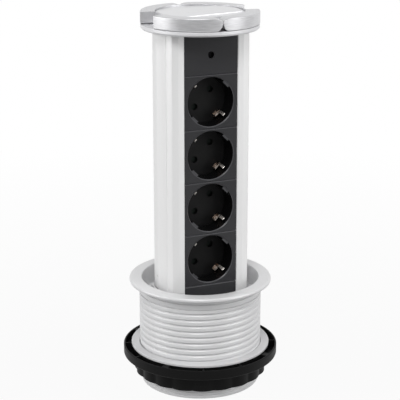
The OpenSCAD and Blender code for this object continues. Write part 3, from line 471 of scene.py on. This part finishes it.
# The clamp nut: a charcoal moulding with twenty shallow lobes for the hand, a wide rim that is a ribbed
# channel on top, and the sleeve's thread inside.
NUT_LOW, RIM_LOW, NUT_TOP, NUT_IN, RIM_OUT = 8.8, 22.8, 30.8, 51.4, 64.1
LOBE_R, LOBE_AT, LOBE_TURN, LOBES = 18.0, 37.2, 14.5, 20
CHANNEL_IN, CHANNEL_OUT, CHANNEL_FLOOR = 57.2, 62.7, 24.4
THREAD_PLAY = 0.35
# ribs across the channel, every third one wide
RIBS, RIB_TURN, RIB_AT, RIB_Z = 12, 8.9, 60.0, 27.3
RIB_LENGTH, RIB_HEIGHT, RIB_WIDE, RIB_NARROW, RIB_EDGE = 6.1, 6.3, 6.0, 1.2, 0.3
nut_charcoal = moulded("nut_charcoal", linear(19, 19, 19), 0.46, size=1700, tone=0.10, spread=0.14,
                       relief=0.2, gloss=0.08)


def nut_section(angle):
    off = math.radians((angle - LOBE_TURN + 180 / LOBES) % (360 / LOBES) - 180 / LOBES)
    grip = LOBE_AT * math.cos(off) + math.sqrt(LOBE_R ** 2 - (LOBE_AT * math.sin(off)) ** 2)
    return rounded([
        (NUT_IN, NUT_TOP, 0.2), (CHANNEL_IN, NUT_TOP, 0.3), (CHANNEL_IN, CHANNEL_FLOOR, 0.3),
        (CHANNEL_OUT, CHANNEL_FLOOR, 0.5), (CHANNEL_OUT, NUT_TOP, 0.35), (RIM_OUT, NUT_TOP, 0.6),
        (RIM_OUT, RIM_LOW, 1.0), (grip, RIM_LOW, 0.6), (grip, NUT_LOW, 0.9), (NUT_IN, NUT_LOW, 0.3)])


nut = turned("nut_moulded", [], nut_section, (NUT_LOW, NUT_TOP, THREAD_R + THREAD_PLAY), columns=240)
bm = bmesh.new()
bm.from_mesh(nut.data)
for i in range(RIBS):
    width = RIB_WIDE if i % 3 == 1 else RIB_NARROW
    turn = Matrix.Rotation(math.radians(360 / RIBS * i + RIB_TURN), 4, "Z")
    place = Matrix.Translation((RIB_AT / 1000, 0, RIB_Z / 1000))
    size = Matrix.Diagonal((RIB_LENGTH / 1000, width / 1000, RIB_HEIGHT / 1000, 1))
    block = bmesh.ops.create_cube(bm, size=1, matrix=turn @ place @ size)
    edges = list(dict.fromkeys(e for v in block["verts"] for e in v.link_edges))
    bmesh.ops.bevel(bm, geom=edges, offset=RIB_EDGE / 1000, segments=2, affect="EDGES", profile=0.5)
bm.to_mesh(nut.data)
bm.free()
placed(nut, nut_charcoal, "nut", "charcoal_plastic", "clamp_nut")


# The column: one D-shaped aluminium extrusion, satin anodised, open in front where its two lips hold the
# stack of panels, with a shallow flute down each side. A small detent hole is drilled in its left side.
COLUMN_LOW, COLUMN_TOP, COLUMN_Y = 57.6, 295.3, -1.5
COLUMN_R, COLUMN_IN, INNER_TURN = 38.2, 36.0, 20.5
# the front from the lip out: lip, flat face, bevel, and the corner to the round back
LIP_X, LIP_BACK, FACE_X, FACE_Y, BEVEL_X, BEVEL_TURN, CORNER_TURN = 22.75, -19.5, 27.9, -21.8, 32.78, 11, 2.5
SLOT_X, SLOT_BACK, WEB_X, WEB_BACK = 25.45, -17.3, 33.2, -15.4
# the flute and a fine line in front of it, by the angle from +X in degrees
FLUTE_FROM, FLUTE_TO, FLUTE_DEPTH, LINE_HALF_TURN, LINE_DEPTH = 181.0, 201.5, 1.1, 1.3, 0.7
DETENT_R, DETENT_Z, DETENT_FROM, DETENT_TO = 0.9, 94.2, -45, -30
BACK_STEPS, INNER_STEPS = 480, 60
column_satin, tree, shader = new_finish("column_satin", linear(234, 234, 234), 0.45, 0.22)
draw_place = node(tree, "ShaderNodeTexCoord")
draw_long = node(tree, "ShaderNodeMapping", {"Scale": (900, 900, 6)})
draw_lines = node(tree, "ShaderNodeTexNoise", {"Scale": 1, "Detail": 3})
draw_rough = node(tree, "ShaderNodeMapRange", {"To Min": 0.4, "To Max": 0.54})
draw_bump = node(tree, "ShaderNodeBump", {"Strength": 0.06, "Distance": FINE_RELIEF})
wire(tree, (draw_place, "Object", draw_long, "Vector"), (draw_long, "Vector", draw_lines, "Vector"),
     (draw_lines, "Fac", draw_rough, "Value"), (draw_rough, "Result", shader, "Roughness"),
     (draw_lines, "Fac", draw_bump, "Height"), (draw_bump, "Normal", shader, "Normal"))


def flute_dip(angle):
    side = angle if angle > 90 else 180 - angle
    along = (side - FLUTE_FROM) / (FLUTE_TO - FLUTE_FROM)
    dip = 4 * FLUTE_DEPTH * along * (1 - along) if 0 < along < 1 else 0
    return dip + LINE_DEPTH * max(1 - abs(side - FLUTE_TO) / LINE_HALF_TURN, 0)


def arc(radius, start, end, steps, middle_y=COLUMN_Y, dip=None):
    """An arc about a point on the Y axis, as sharp corners of an outline, taken in by dip at each angle."""
    points = []
    for k in range(steps + 1):
        angle = start + (end - start) * k / steps
        r = radius - dip(angle) if dip else radius
        points.append((r * math.cos(math.radians(angle)), middle_y + r * math.sin(math.radians(angle)), 0))
    return points


def mirrored(corners):
    """The same corners on the other side of the Y axis, in the order that goes on round the outline."""
    return [(-x, y, radius) for x, y, radius in reversed(corners)]


def extruded(name, outline, low, high):
    """A straight length in mm of a closed outline, from low to high."""
    mesh = bpy.data.meshes.new(name)
    count = len(outline)
    verts = [(x / 1000, y / 1000, z / 1000) for z in (low, high) for x, y in outline]
    faces = [(i, (i + 1) % count, count + (i + 1) % count, count + i) for i in range(count)]
    faces += [tuple(range(count - 1, -1, -1)), tuple(range(count, 2 * count))]
    mesh.from_pydata(verts, [], faces)
    bm = bmesh.new()
    bm.from_mesh(mesh)
    bmesh.ops.triangulate(bm, faces=[f for f in bm.faces if len(f.verts) > 4])
    bm.to_mesh(mesh)
    bm.free()
    return finish_mesh(name, mesh, smooth_angle=30)


def drilled(piece, radius, start, end):
    """Takes a straight round hole in mm, from start to end, out of a piece."""
    a, b = Vector(start) / 1000, Vector(end) / 1000
    lie = Matrix.Translation((a + b) / 2) @ (b - a).to_track_quat("Z", "Y").to_matrix().to_4x4()
    bm = bmesh.new()
    bmesh.ops.create_cone(bm, cap_ends=True, segments=32, radius1=radius / 1000, radius2=radius / 1000,
                          depth=(b - a).length, matrix=lie)
    tool_mesh = bpy.data.meshes.new("drill")
    bm.to_mesh(tool_mesh)
    bm.free()
    tool = bpy.data.objects.new("drill", tool_mesh)
    scene.collection.objects.link(tool)
    step = piece.modifiers.new("drill", "BOOLEAN")
    step.operation = "DIFFERENCE"
    step.solver = "EXACT"
    step.object = tool
    settled(piece)
    bpy.data.objects.remove(tool)
    bpy.data.meshes.remove(tool_mesh)


bevel_y = FACE_Y + (BEVEL_X - FACE_X) * math.tan(math.radians(BEVEL_TURN))
back_from = math.degrees(math.atan2(bevel_y - COLUMN_Y, BEVEL_X)) + CORNER_TURN
right_front = [(LIP_X, LIP_BACK, 0.1), (LIP_X, FACE_Y, 0.9), (FACE_X, FACE_Y, 1.2), (BEVEL_X, bevel_y, 0.9)]
round_back = arc(COLUMN_R, back_from, 180 - back_from, BACK_STEPS, dip=flute_dip)
inside_left = [(-SLOT_X, LIP_BACK, 0), (-SLOT_X, SLOT_BACK, 0), (-LIP_X, SLOT_BACK, 0.2),
               (-LIP_X, WEB_BACK, 0.2), (-WEB_X, WEB_BACK, 0)]
inner_back = arc(COLUMN_IN, 180 + INNER_TURN, -INNER_TURN, INNER_STEPS)
column_outline = rounded(right_front + round_back + mirrored(right_front) + inside_left + inner_back
                         + mirrored(inside_left))
column = extruded("column_drawn", column_outline, COLUMN_LOW, COLUMN_TOP)
drilled(column, DETENT_R, (DETENT_FROM, 0, DETENT_Z), (DETENT_TO, 0, DETENT_Z))
placed(column, column_satin, "column", "anodised_column", "column_extrusion")


# The foot and the cable gland under it: charcoal mouldings that close the column from below. The gland is
# a body with a lock nut, a rubber seal and a domed nut, and four zinc screws hold the foot.
seal_rubber = moulded("seal_rubber", linear(30, 30, 31), 0.75, size=1200, tone=0.1, spread=0.1, relief=0.2)
dressed(nut_charcoal, "foot_cap", "gland_body", "gland_locknut", "gland_dome")
dressed(seal_rubber, "gland_seal")
dressed(zinc_plate, "foot_screws")


# The panels: charcoal mouldings stacked behind the column's lips, a blank at each end and four earthed
# sockets between, each with a deep round well, guide ribs and pin holes. Faces are satin, the wells' walls
# smoother, their floors matt; walls and floors are painted darker as painted shade, and the edge chamfers
# are painted lighter as a painted highlight. A blackened screw holds the top blank.
PANEL_COLOUR = linear(51, 51, 53)
PANEL_BACK, PANEL_FRONT = 0.0, -0.022
# Y in metres, share of the colour, roughness, gloss: face, chamfered edges (a little glossier, and painted
# lighter as a painted highlight), the wells' walls and floors (painted darker as painted shade)
PANEL_DEPTHS_AND_PAINTED_LIGHT = ((-0.02125, 1.0, 0.3, 0.2), (-0.0211, 2.2, 0.3, 0.3), (-0.0205, 2.2, 0.3, 0.3),
                (-0.0198, 0.12, 0.24, 0.32), (-0.0060, 0.10, 0.26, 0.32), (-0.0040, 0.10, 0.65, 0.26))
panel_black = moulded("panel_black", PANEL_COLOUR, 0.3, size=2200, tone=0.12, spread=0.12, relief=0.12)
tree = panel_black.node_tree
panel_grain = next(made for made in tree.nodes if made.type == "GROUP")
depth_place = node(tree, "ShaderNodeTexCoord")
depth_apart = node(tree, "ShaderNodeSeparateXYZ")
depth_share = node(tree, "ShaderNodeMapRange", {"From Min": PANEL_FRONT, "From Max": PANEL_BACK})
wire(tree, (depth_place, "Object", depth_apart, 0), (depth_apart, "Y", depth_share, "Value"))
colour_and_painted_light_marks, rough_marks, gloss_marks = [], [], []
# the colour's share paints shade into the wells' walls and floors and a highlight onto the edge chamfers
for y, share, roughness, gloss in PANEL_DEPTHS_AND_PAINTED_LIGHT:
    depth = (y - PANEL_FRONT) / (PANEL_BACK - PANEL_FRONT)
    colour_and_painted_light_marks.append((depth, [part * share for part in PANEL_COLOUR[:3]] + [1]))
    rough_marks.append((depth, (roughness, roughness, roughness, 1)))
    gloss_marks.append((depth, (gloss, gloss, gloss, 1)))
for marks, target, into in ((colour_and_painted_light_marks, panel_grain, "Colour"), (rough_marks, panel_grain, "Roughness"),
                            (gloss_marks, tree.nodes["Principled BSDF"], "Specular IOR Level")):
    by_depth = ramp(tree, marks)
    wire(tree, (depth_share, "Result", by_depth, "Fac"), (by_depth, "Color", target, into))
dressed(panel_black, "bottom_blank", "top_blank", "socket_1", "socket_2", "socket_3", "socket_4")
blackened = small_metal("blackened", linear(50, 50, 52), 0.4)
dressed(blackened, "blank_screw")


# The shutters: small dark green plastic rotors, one to a socket, whose wings close the pin holes. Each
# turns on a pivot behind the well's floor, and a zinc-plated coil spring in its hub brings it back.
shutter_green = moulded("shutter_green", linear(12, 22, 17), 0.5, size=1500, tone=0.1, spread=0.08,
                        gloss=0.15)
for k in range(1, 5):
    dressed(shutter_green, "shutter_%d" % k)
    dressed(zinc_plate, "shutter_spring_%d" % k)


# The earth clips: strips of nickel bronze bent so that their sprung ends stand up in the wells, each with
# a broad shoulder and beside it a narrow tongue that the plug meets. A strap behind the socket joins them.
SOCKET_ZS = (240.0, 196.75, 153.5, 110.25)
WELL_Y = -21.3
CLIP_TURN = math.radians(45)
CLIP_EDGE = 0.25
# (distance from the socket's axis, height over the panel's face) of each profile
SHOULDER = [(18.25, -24.2), (18.25, -14.7), (13.4, -11.8), (12.8, -10.6), (14.4, -8.0), (15.4, -8.1),
            (14.0, -10.6), (19.05, -14.2), (19.05, -24.2)]
LEG = [(18.25, -24.2), (18.25, -14.7), (14.2, -9.2), (14.2, -8.2), (15.2, -8.2), (15.3, -9.4),
       (19.05, -14.2), (19.05, -24.2)]
TONGUE = [(14.2, -8.6), (14.3, -7.9), (16.6, -3.5), (17.2, -2.9), (17.8, -3.1), (17.6, -3.8), (15.2, -8.6)]
STRAP = [(-19.0, -24.5), (-19.0, -23.7), (19.0, -23.7), (19.0, -24.5)]
# each profile with its two sides: the first end has them all, the other one only tongue and leg
FIRST_END = ((TONGUE, -0.5, 1.9), (LEG, -0.4, 1.8), (STRAP, -2.3, 2.3), (SHOULDER, -4.4, -0.6))
OTHER_END = FIRST_END[:2]
# the tongues are painted paler towards their tips between these two heights along Y, in metres, as a painted
# highlight where the tips catch the light
PAINTED_GLINT_FROM, PAINTED_GLINT_TO = -0.0118, -0.0142
clip_bronze = small_metal("clip_bronze", linear(190, 158, 140), 0.26)
tree = clip_bronze.node_tree
clip_place = node(tree, "ShaderNodeTexCoord")
clip_apart = node(tree, "ShaderNodeSeparateXYZ")
clip_rise = node(tree, "ShaderNodeMapRange", {"From Min": PAINTED_GLINT_FROM, "From Max": PAINTED_GLINT_TO})
# the near-white colour towards the tongue's tip is a painted highlight, not the bronze's own colour
clip_painted_glint = node(tree, "ShaderNodeMix", {"A": linear(222, 196, 178), "B": linear(236, 230, 224)},
                 data_type="RGBA")
wire(tree, (clip_place, "Object", clip_apart, 0), (clip_apart, "Y", clip_rise, "Value"),
     (clip_rise, "Result", clip_painted_glint, "Factor"),
     (clip_painted_glint, "Result", tree.nodes["Principled BSDF"], "Base Color"))
for k, middle_z in enumerate(SOCKET_ZS, 1):
    bm = bmesh.new()
    for end, parts in ((1, FIRST_END), (-1, OTHER_END)):
        out_x, out_z = end * math.sin(CLIP_TURN), -end * math.cos(CLIP_TURN)
        for profile, low, high in parts:
            sides = []
            for t in (low, high):
                sides.append([bm.verts.new(((r * out_x + t * math.cos(CLIP_TURN)) / 1000, (WELL_Y - w) / 1000,
                                            (middle_z + r * out_z + t * math.sin(CLIP_TURN)) / 1000))
                              for r, w in profile])
            one, two = sides
            for i in range(len(profile)):
                bm.faces.new([one[i - 1], one[i], two[i], two[i - 1]])
            flats = [bm.faces.new(one), bm.faces.new(two[::-1])]
            rim = list(dict.fromkeys(e for f in flats for e in f.edges))
            bmesh.ops.bevel(bm, geom=rim, offset=CLIP_EDGE / 1000, segments=2, affect="EDGES", profile=0.5)
    bmesh.ops.triangulate(bm, faces=[f for f in bm.faces if len(f.verts) > 4])
    clip_mesh = bpy.data.meshes.new("earth_clip_bent_%d" % k)
    bm.to_mesh(clip_mesh)
    bm.free()
    clip = finish_mesh("earth_clip_bent_%d" % k, clip_mesh, smooth_angle=40)
    placed(clip, clip_bronze, "column", "nickel_bronze", "earth_clip_%d" % k)


# The wiring behind the sockets: three brass bars with contacts run past all four, in a pale insulating
# carrier that two screws hold to each socket's posts, and a terminal block below takes the supply's wires.
insulator = moulded("insulator", linear(226, 224, 216), 0.5, size=1500, tone=0.05)
dressed(bright_brass, "earth_bar", "line_bar", "neutral_bar")
dressed(insulator, "contact_carrier", "terminal_block")
dressed(zinc_plate, "carrier_screws", "terminal_screws")


# The lid's base: a thin turned plate of satin aluminium with a chamfered lower edge. Four countersunk zinc
# screws from above hold it to the column's end, and two more hold the cap to it.
brush, brush_in, brush_out = shared_effect("brush_lines", [
    ("Place", "Vector", (0, 0, 0)), ("Colour", "Color", (0.6, 0.6, 0.6, 1)), ("Tone", "Float", 0.15),
    ("Roughness", "Float", 0.35), ("Spread", "Float", 0.2)])
brush_noise = node(brush, "ShaderNodeTexNoise", {"Scale": 1, "Detail": 4})
brush_shift = node(brush, "ShaderNodeMath", {1: 0.5}, operation="SUBTRACT")
brush_tone = node(brush, "ShaderNodeMath", {2: 1}, operation="MULTIPLY_ADD")
brush_colour = node(brush, "ShaderNodeVectorMath", operation="SCALE")
brush_rough = node(brush, "ShaderNodeMath", operation="MULTIPLY_ADD")
wire(brush,
     (brush_in, "Place", brush_noise, "Vector"), (brush_noise, "Fac", brush_shift, 0),
     (brush_shift, 0, brush_tone, 0), (brush_in, "Tone", brush_tone, 1),
     (brush_in, "Colour", brush_colour, 0), (brush_tone, 0, brush_colour, "Scale"),
     (brush_colour, 0, brush_out, "Colour"), (brush_shift, 0, brush_rough, 0),
     (brush_in, "Spread", brush_rough, 1), (brush_in, "Roughness", brush_rough, 2),
     (brush_rough, 0, brush_out, "Roughness"), (brush_noise, "Fac", brush_out, "Height"))
# how many lines to a metre, or to a radian, along the brushing and across it
ROUND_LINES, STRAIGHT_LINES = (7, 2600, 2600), (60, 2600, 2600)


def brushed(name, colour, roughness, tone, metallic, straight_at=None):
    """Brushed aluminium, with its lines round the lid's axis, or straight across it at a turn in degrees."""
    finish, tree, shader = new_finish(name, colour, roughness, metallic)
    place = node(tree, "ShaderNodeTexCoord")
    use = node(tree, "ShaderNodeGroup", {"Colour": colour, "Tone": tone, "Roughness": roughness},
               node_tree=brush)
    if straight_at is None:
        apart = node(tree, "ShaderNodeSeparateXYZ")
        angle = node(tree, "ShaderNodeMath", operation="ARCTAN2")
        flat = node(tree, "ShaderNodeCombineXYZ")
        reach = node(tree, "ShaderNodeVectorMath", operation="LENGTH")
        join = node(tree, "ShaderNodeCombineXYZ")
        scale = node(tree, "ShaderNodeVectorMath", {1: ROUND_LINES}, operation="MULTIPLY")
        wire(tree, (place, "Object", apart, 0), (apart, "Y", angle, 0), (apart, "X", angle, 1),
             (apart, "X", flat, "X"), (apart, "Y", flat, "Y"), (flat, 0, reach, 0), (angle, 0, join, "X"),
             (reach, "Value", join, "Y"), (apart, "Z", join, "Z"), (join, 0, scale, 0),
             (scale, 0, use, "Place"))
    else:
        mapping = node(tree, "ShaderNodeMapping", {"Rotation": (0, 0, math.radians(-straight_at)),
                                                   "Scale": STRAIGHT_LINES})
        wire(tree, (place, "Object", mapping, "Vector"), (mapping, "Vector", use, "Place"))
    bump = node(tree, "ShaderNodeBump", {"Strength": 0.1, "Distance": FINE_RELIEF})
    wire(tree, (use, "Colour", shader, "Base Color"), (use, "Roughness", shader, "Roughness"),
         (use, "Height", bump, "Height"), (bump, "Normal", shader, "Normal"))
    return finish


BASE_R, BASE_TOP, BASE_CHAMFER = 47.0, 299.0, 1.3
base_satin = brushed("base_satin", linear(222, 222, 224), 0.42, 0.10, metallic=0.25)
base = turned("lid_base_turned", [], rounded([
    (0, COLUMN_TOP, 0), (BASE_R - BASE_CHAMFER, COLUMN_TOP, 0.3), (BASE_R, COLUMN_TOP + BASE_CHAMFER, 0.4),
    (BASE_R, BASE_TOP, 0.4), (0, BASE_TOP, 0)]))
placed(base, base_satin, "column", "brushed_lid", "lid_base")
dressed(zinc_plate, "lid_screws", "cap_screws")


# The lid's cap: brushed aluminium over a thin shadow gap, a core with a raised ring round the disc's
# recess. The ring is cut into segments, with two finger notches at the sides and two round-nosed joints
# front and back.
RING_LOW, RING_TOP, RING_IN, RING_OUT, RING_MIDDLE = 299.3, 309.3, 35.6, 47.2, 46.0
DISC_LOW = 305.6
CORE_LOW_R, CORE_R, CORE_TOP = 35.7, 36.2, RING_TOP - 0.05
END_STEPS, TURN_STEP = 14, 1.5
NOSE_AT, NOSE_GAP = -1.8, 0.15
# an end of a segment in mm: reach and height of its upper and of its lower curve
NOSE_END = (7.0, 3.3, 5.0, 7.0)
SQUARE_END = (0.5, 0.5, 1.0, 1.0)
LIFTED_END = (0.5, 0.5, 4.0, 1.5)
# the angles round from the front where each segment starts and ends, and the forms of its two ends
SEGMENTS = ((-73, NOSE_AT - NOSE_GAP, SQUARE_END, NOSE_END),
            (NOSE_AT + NOSE_GAP, 75, NOSE_END, SQUARE_END),
            (107, 180 + NOSE_AT - NOSE_GAP, SQUARE_END, NOSE_END),
            (180 + NOSE_AT + NOSE_GAP, 255, NOSE_END, LIFTED_END))
lid_brushed = brushed("lid_brushed", linear(208, 208, 210), 0.4, 0.6, metallic=0.72)
ring_outline = rounded([(RING_IN, RING_LOW, 0.2), (RING_OUT, RING_LOW, 0.8), (RING_OUT, RING_TOP, 0.8),
                        (RING_IN, RING_TOP, 0.3)], steps=4)


def end_stations(form):
    """(way in from the end in mm, low, high) of the sections that shape a segment's end."""
    def curve(way, reach, height):
        return height * (1 - math.sqrt(1 - (1 - min(way / reach, 1)) ** 2))

    top_reach, top_height, low_reach, low_height = form
    reach = max(top_reach, low_reach)
    ways = [reach * (1 - math.cos(math.pi / 2 * k / END_STEPS)) for k in range(1, END_STEPS + 1)]
    return [(way, RING_LOW + curve(way, low_reach, low_height), RING_TOP - curve(way, top_reach, top_height))
            for way in ways]


def ring_segment(bm, start, end, first_end, last_end):
    """Sweeps one segment of the ring through its sections, from end to end."""
    per_mm = math.degrees(1 / RING_MIDDLE)
    first, last = end_stations(first_end), end_stations(last_end)
    stations = [(start + way * per_mm, low, high) for way, low, high in first]
    from_turn, to_turn = stations[-1][0], end - last[-1][0] * per_mm
    count = max(int((to_turn - from_turn) / TURN_STEP), 1)
    stations += [(from_turn + (to_turn - from_turn) * k / count, RING_LOW, RING_TOP) for k in range(1, count)]
    stations += [(end - way * per_mm, low, high) for way, low, high in reversed(last)]
    loops = []
    for angle, low, high in stations:
        c, s = math.cos(math.radians(angle - 90)), math.sin(math.radians(angle - 90))
        loop = []
        for r, z in ring_outline:
            z = low + (z - RING_LOW) * (high - low) / (RING_TOP - RING_LOW)
            loop.append(bm.verts.new((r * c / 1000, r * s / 1000, z / 1000)))
        loops.append(loop)
    for a, b in zip(loops, loops[1:]):
        for i in range(len(a)):
            bm.faces.new((a[i - 1], a[i], b[i], b[i - 1]))
    bm.faces.new(loops[0])
    bm.faces.new(list(reversed(loops[-1])))


core = turned("lid_core", [], rounded([
    (0, BASE_TOP, 0), (CORE_LOW_R, BASE_TOP, 0), (CORE_LOW_R, RING_LOW, 0), (CORE_R, RING_LOW, 0),
    (CORE_R, CORE_TOP, 0.15), (RING_IN, CORE_TOP, 0.15), (RING_IN, DISC_LOW, 0), (0, DISC_LOW, 0)]))
bm = bmesh.new()
bm.from_mesh(core.data)
for segment in SEGMENTS:
    ring_segment(bm, *segment)
bmesh.ops.recalc_face_normals(bm, faces=bm.faces)
cap_mesh = bpy.data.meshes.new("lid_cap_cut")
bm.to_mesh(cap_mesh)
bm.free()
bpy.data.objects.remove(core)
cap = finish_mesh("lid_cap_cut", cap_mesh, smooth_angle=32)
placed(cap, lid_brushed, "column", "brushed_lid", "lid_cap")


# The disc inlaid in the lid: thin aluminium with a chamfered edge and a low straight bar across it, brushed
# along the bar. It lies in the cap's recess and covers the cap's screws.
DISC_TOP, DISC_R, DISC_CHAMFER = 308.0, 35.5, 0.7
BAR_HALF, BAR_TURN, BAR_R, BAR_TOP = 19.0, 10.0, 33.5, 308.7
BAR_SUNK, BAR_BEVEL, BAR_STEPS = 0.6, 0.6, 24
# faces within this turn of each other are one flat, and points within this height, in metres, are level
FLAT_TURN, LEVEL_WITHIN = math.radians(0.5), 1e-6
disc_brushed = brushed("disc_brushed", linear(218, 218, 220), 0.32, 0.2, metallic=0.85, straight_at=BAR_TURN)
disc = turned("lid_disc_turned", [], rounded([
    (0, DISC_LOW, 0), (DISC_R, DISC_LOW, 0.1), (DISC_R, DISC_TOP - DISC_CHAMFER, 0.2),
    (DISC_R - DISC_CHAMFER, DISC_TOP, 0.3), (0, DISC_TOP, 0)]))
reach = math.degrees(math.asin(BAR_HALF / BAR_R))
bar_ends = arc(BAR_R, -reach, reach, BAR_STEPS, 0) + arc(BAR_R, 180 - reach, 180 + reach, BAR_STEPS, 0)
bar = extruded("lid_bar", [(x, y) for x, y, r in bar_ends], DISC_TOP - BAR_SUNK, BAR_TOP)
bm = bmesh.new()
bm.from_mesh(bar.data)
bmesh.ops.dissolve_limit(bm, angle_limit=FLAT_TURN, verts=bm.verts, edges=bm.edges)
rim = [e for e in bm.edges if all(abs(v.co.z - BAR_TOP / 1000) < LEVEL_WITHIN for v in e.verts)]
bmesh.ops.bevel(bm, geom=rim, offset=BAR_BEVEL / 1000, segments=2, affect="EDGES", profile=0.5,
                clamp_overlap=False)
bmesh.ops.rotate(bm, verts=bm.verts, cent=(0, 0, 0), matrix=Matrix.Rotation(math.radians(BAR_TURN), 3, "Z"))
bm.from_mesh(disc.data)
bmesh.ops.triangulate(bm, faces=[f for f in bm.faces if len(f.verts) > 4])
disc_mesh = bpy.data.meshes.new("lid_disc_cut")
bm.to_mesh(disc_mesh)
bm.free()
bpy.data.objects.remove(bar)
bpy.data.objects.remove(disc)
disc = finish_mesh("lid_disc_cut", disc_mesh, smooth_angle=32)
placed(disc, disc_brushed, "column", "brushed_lid", "lid_disc")
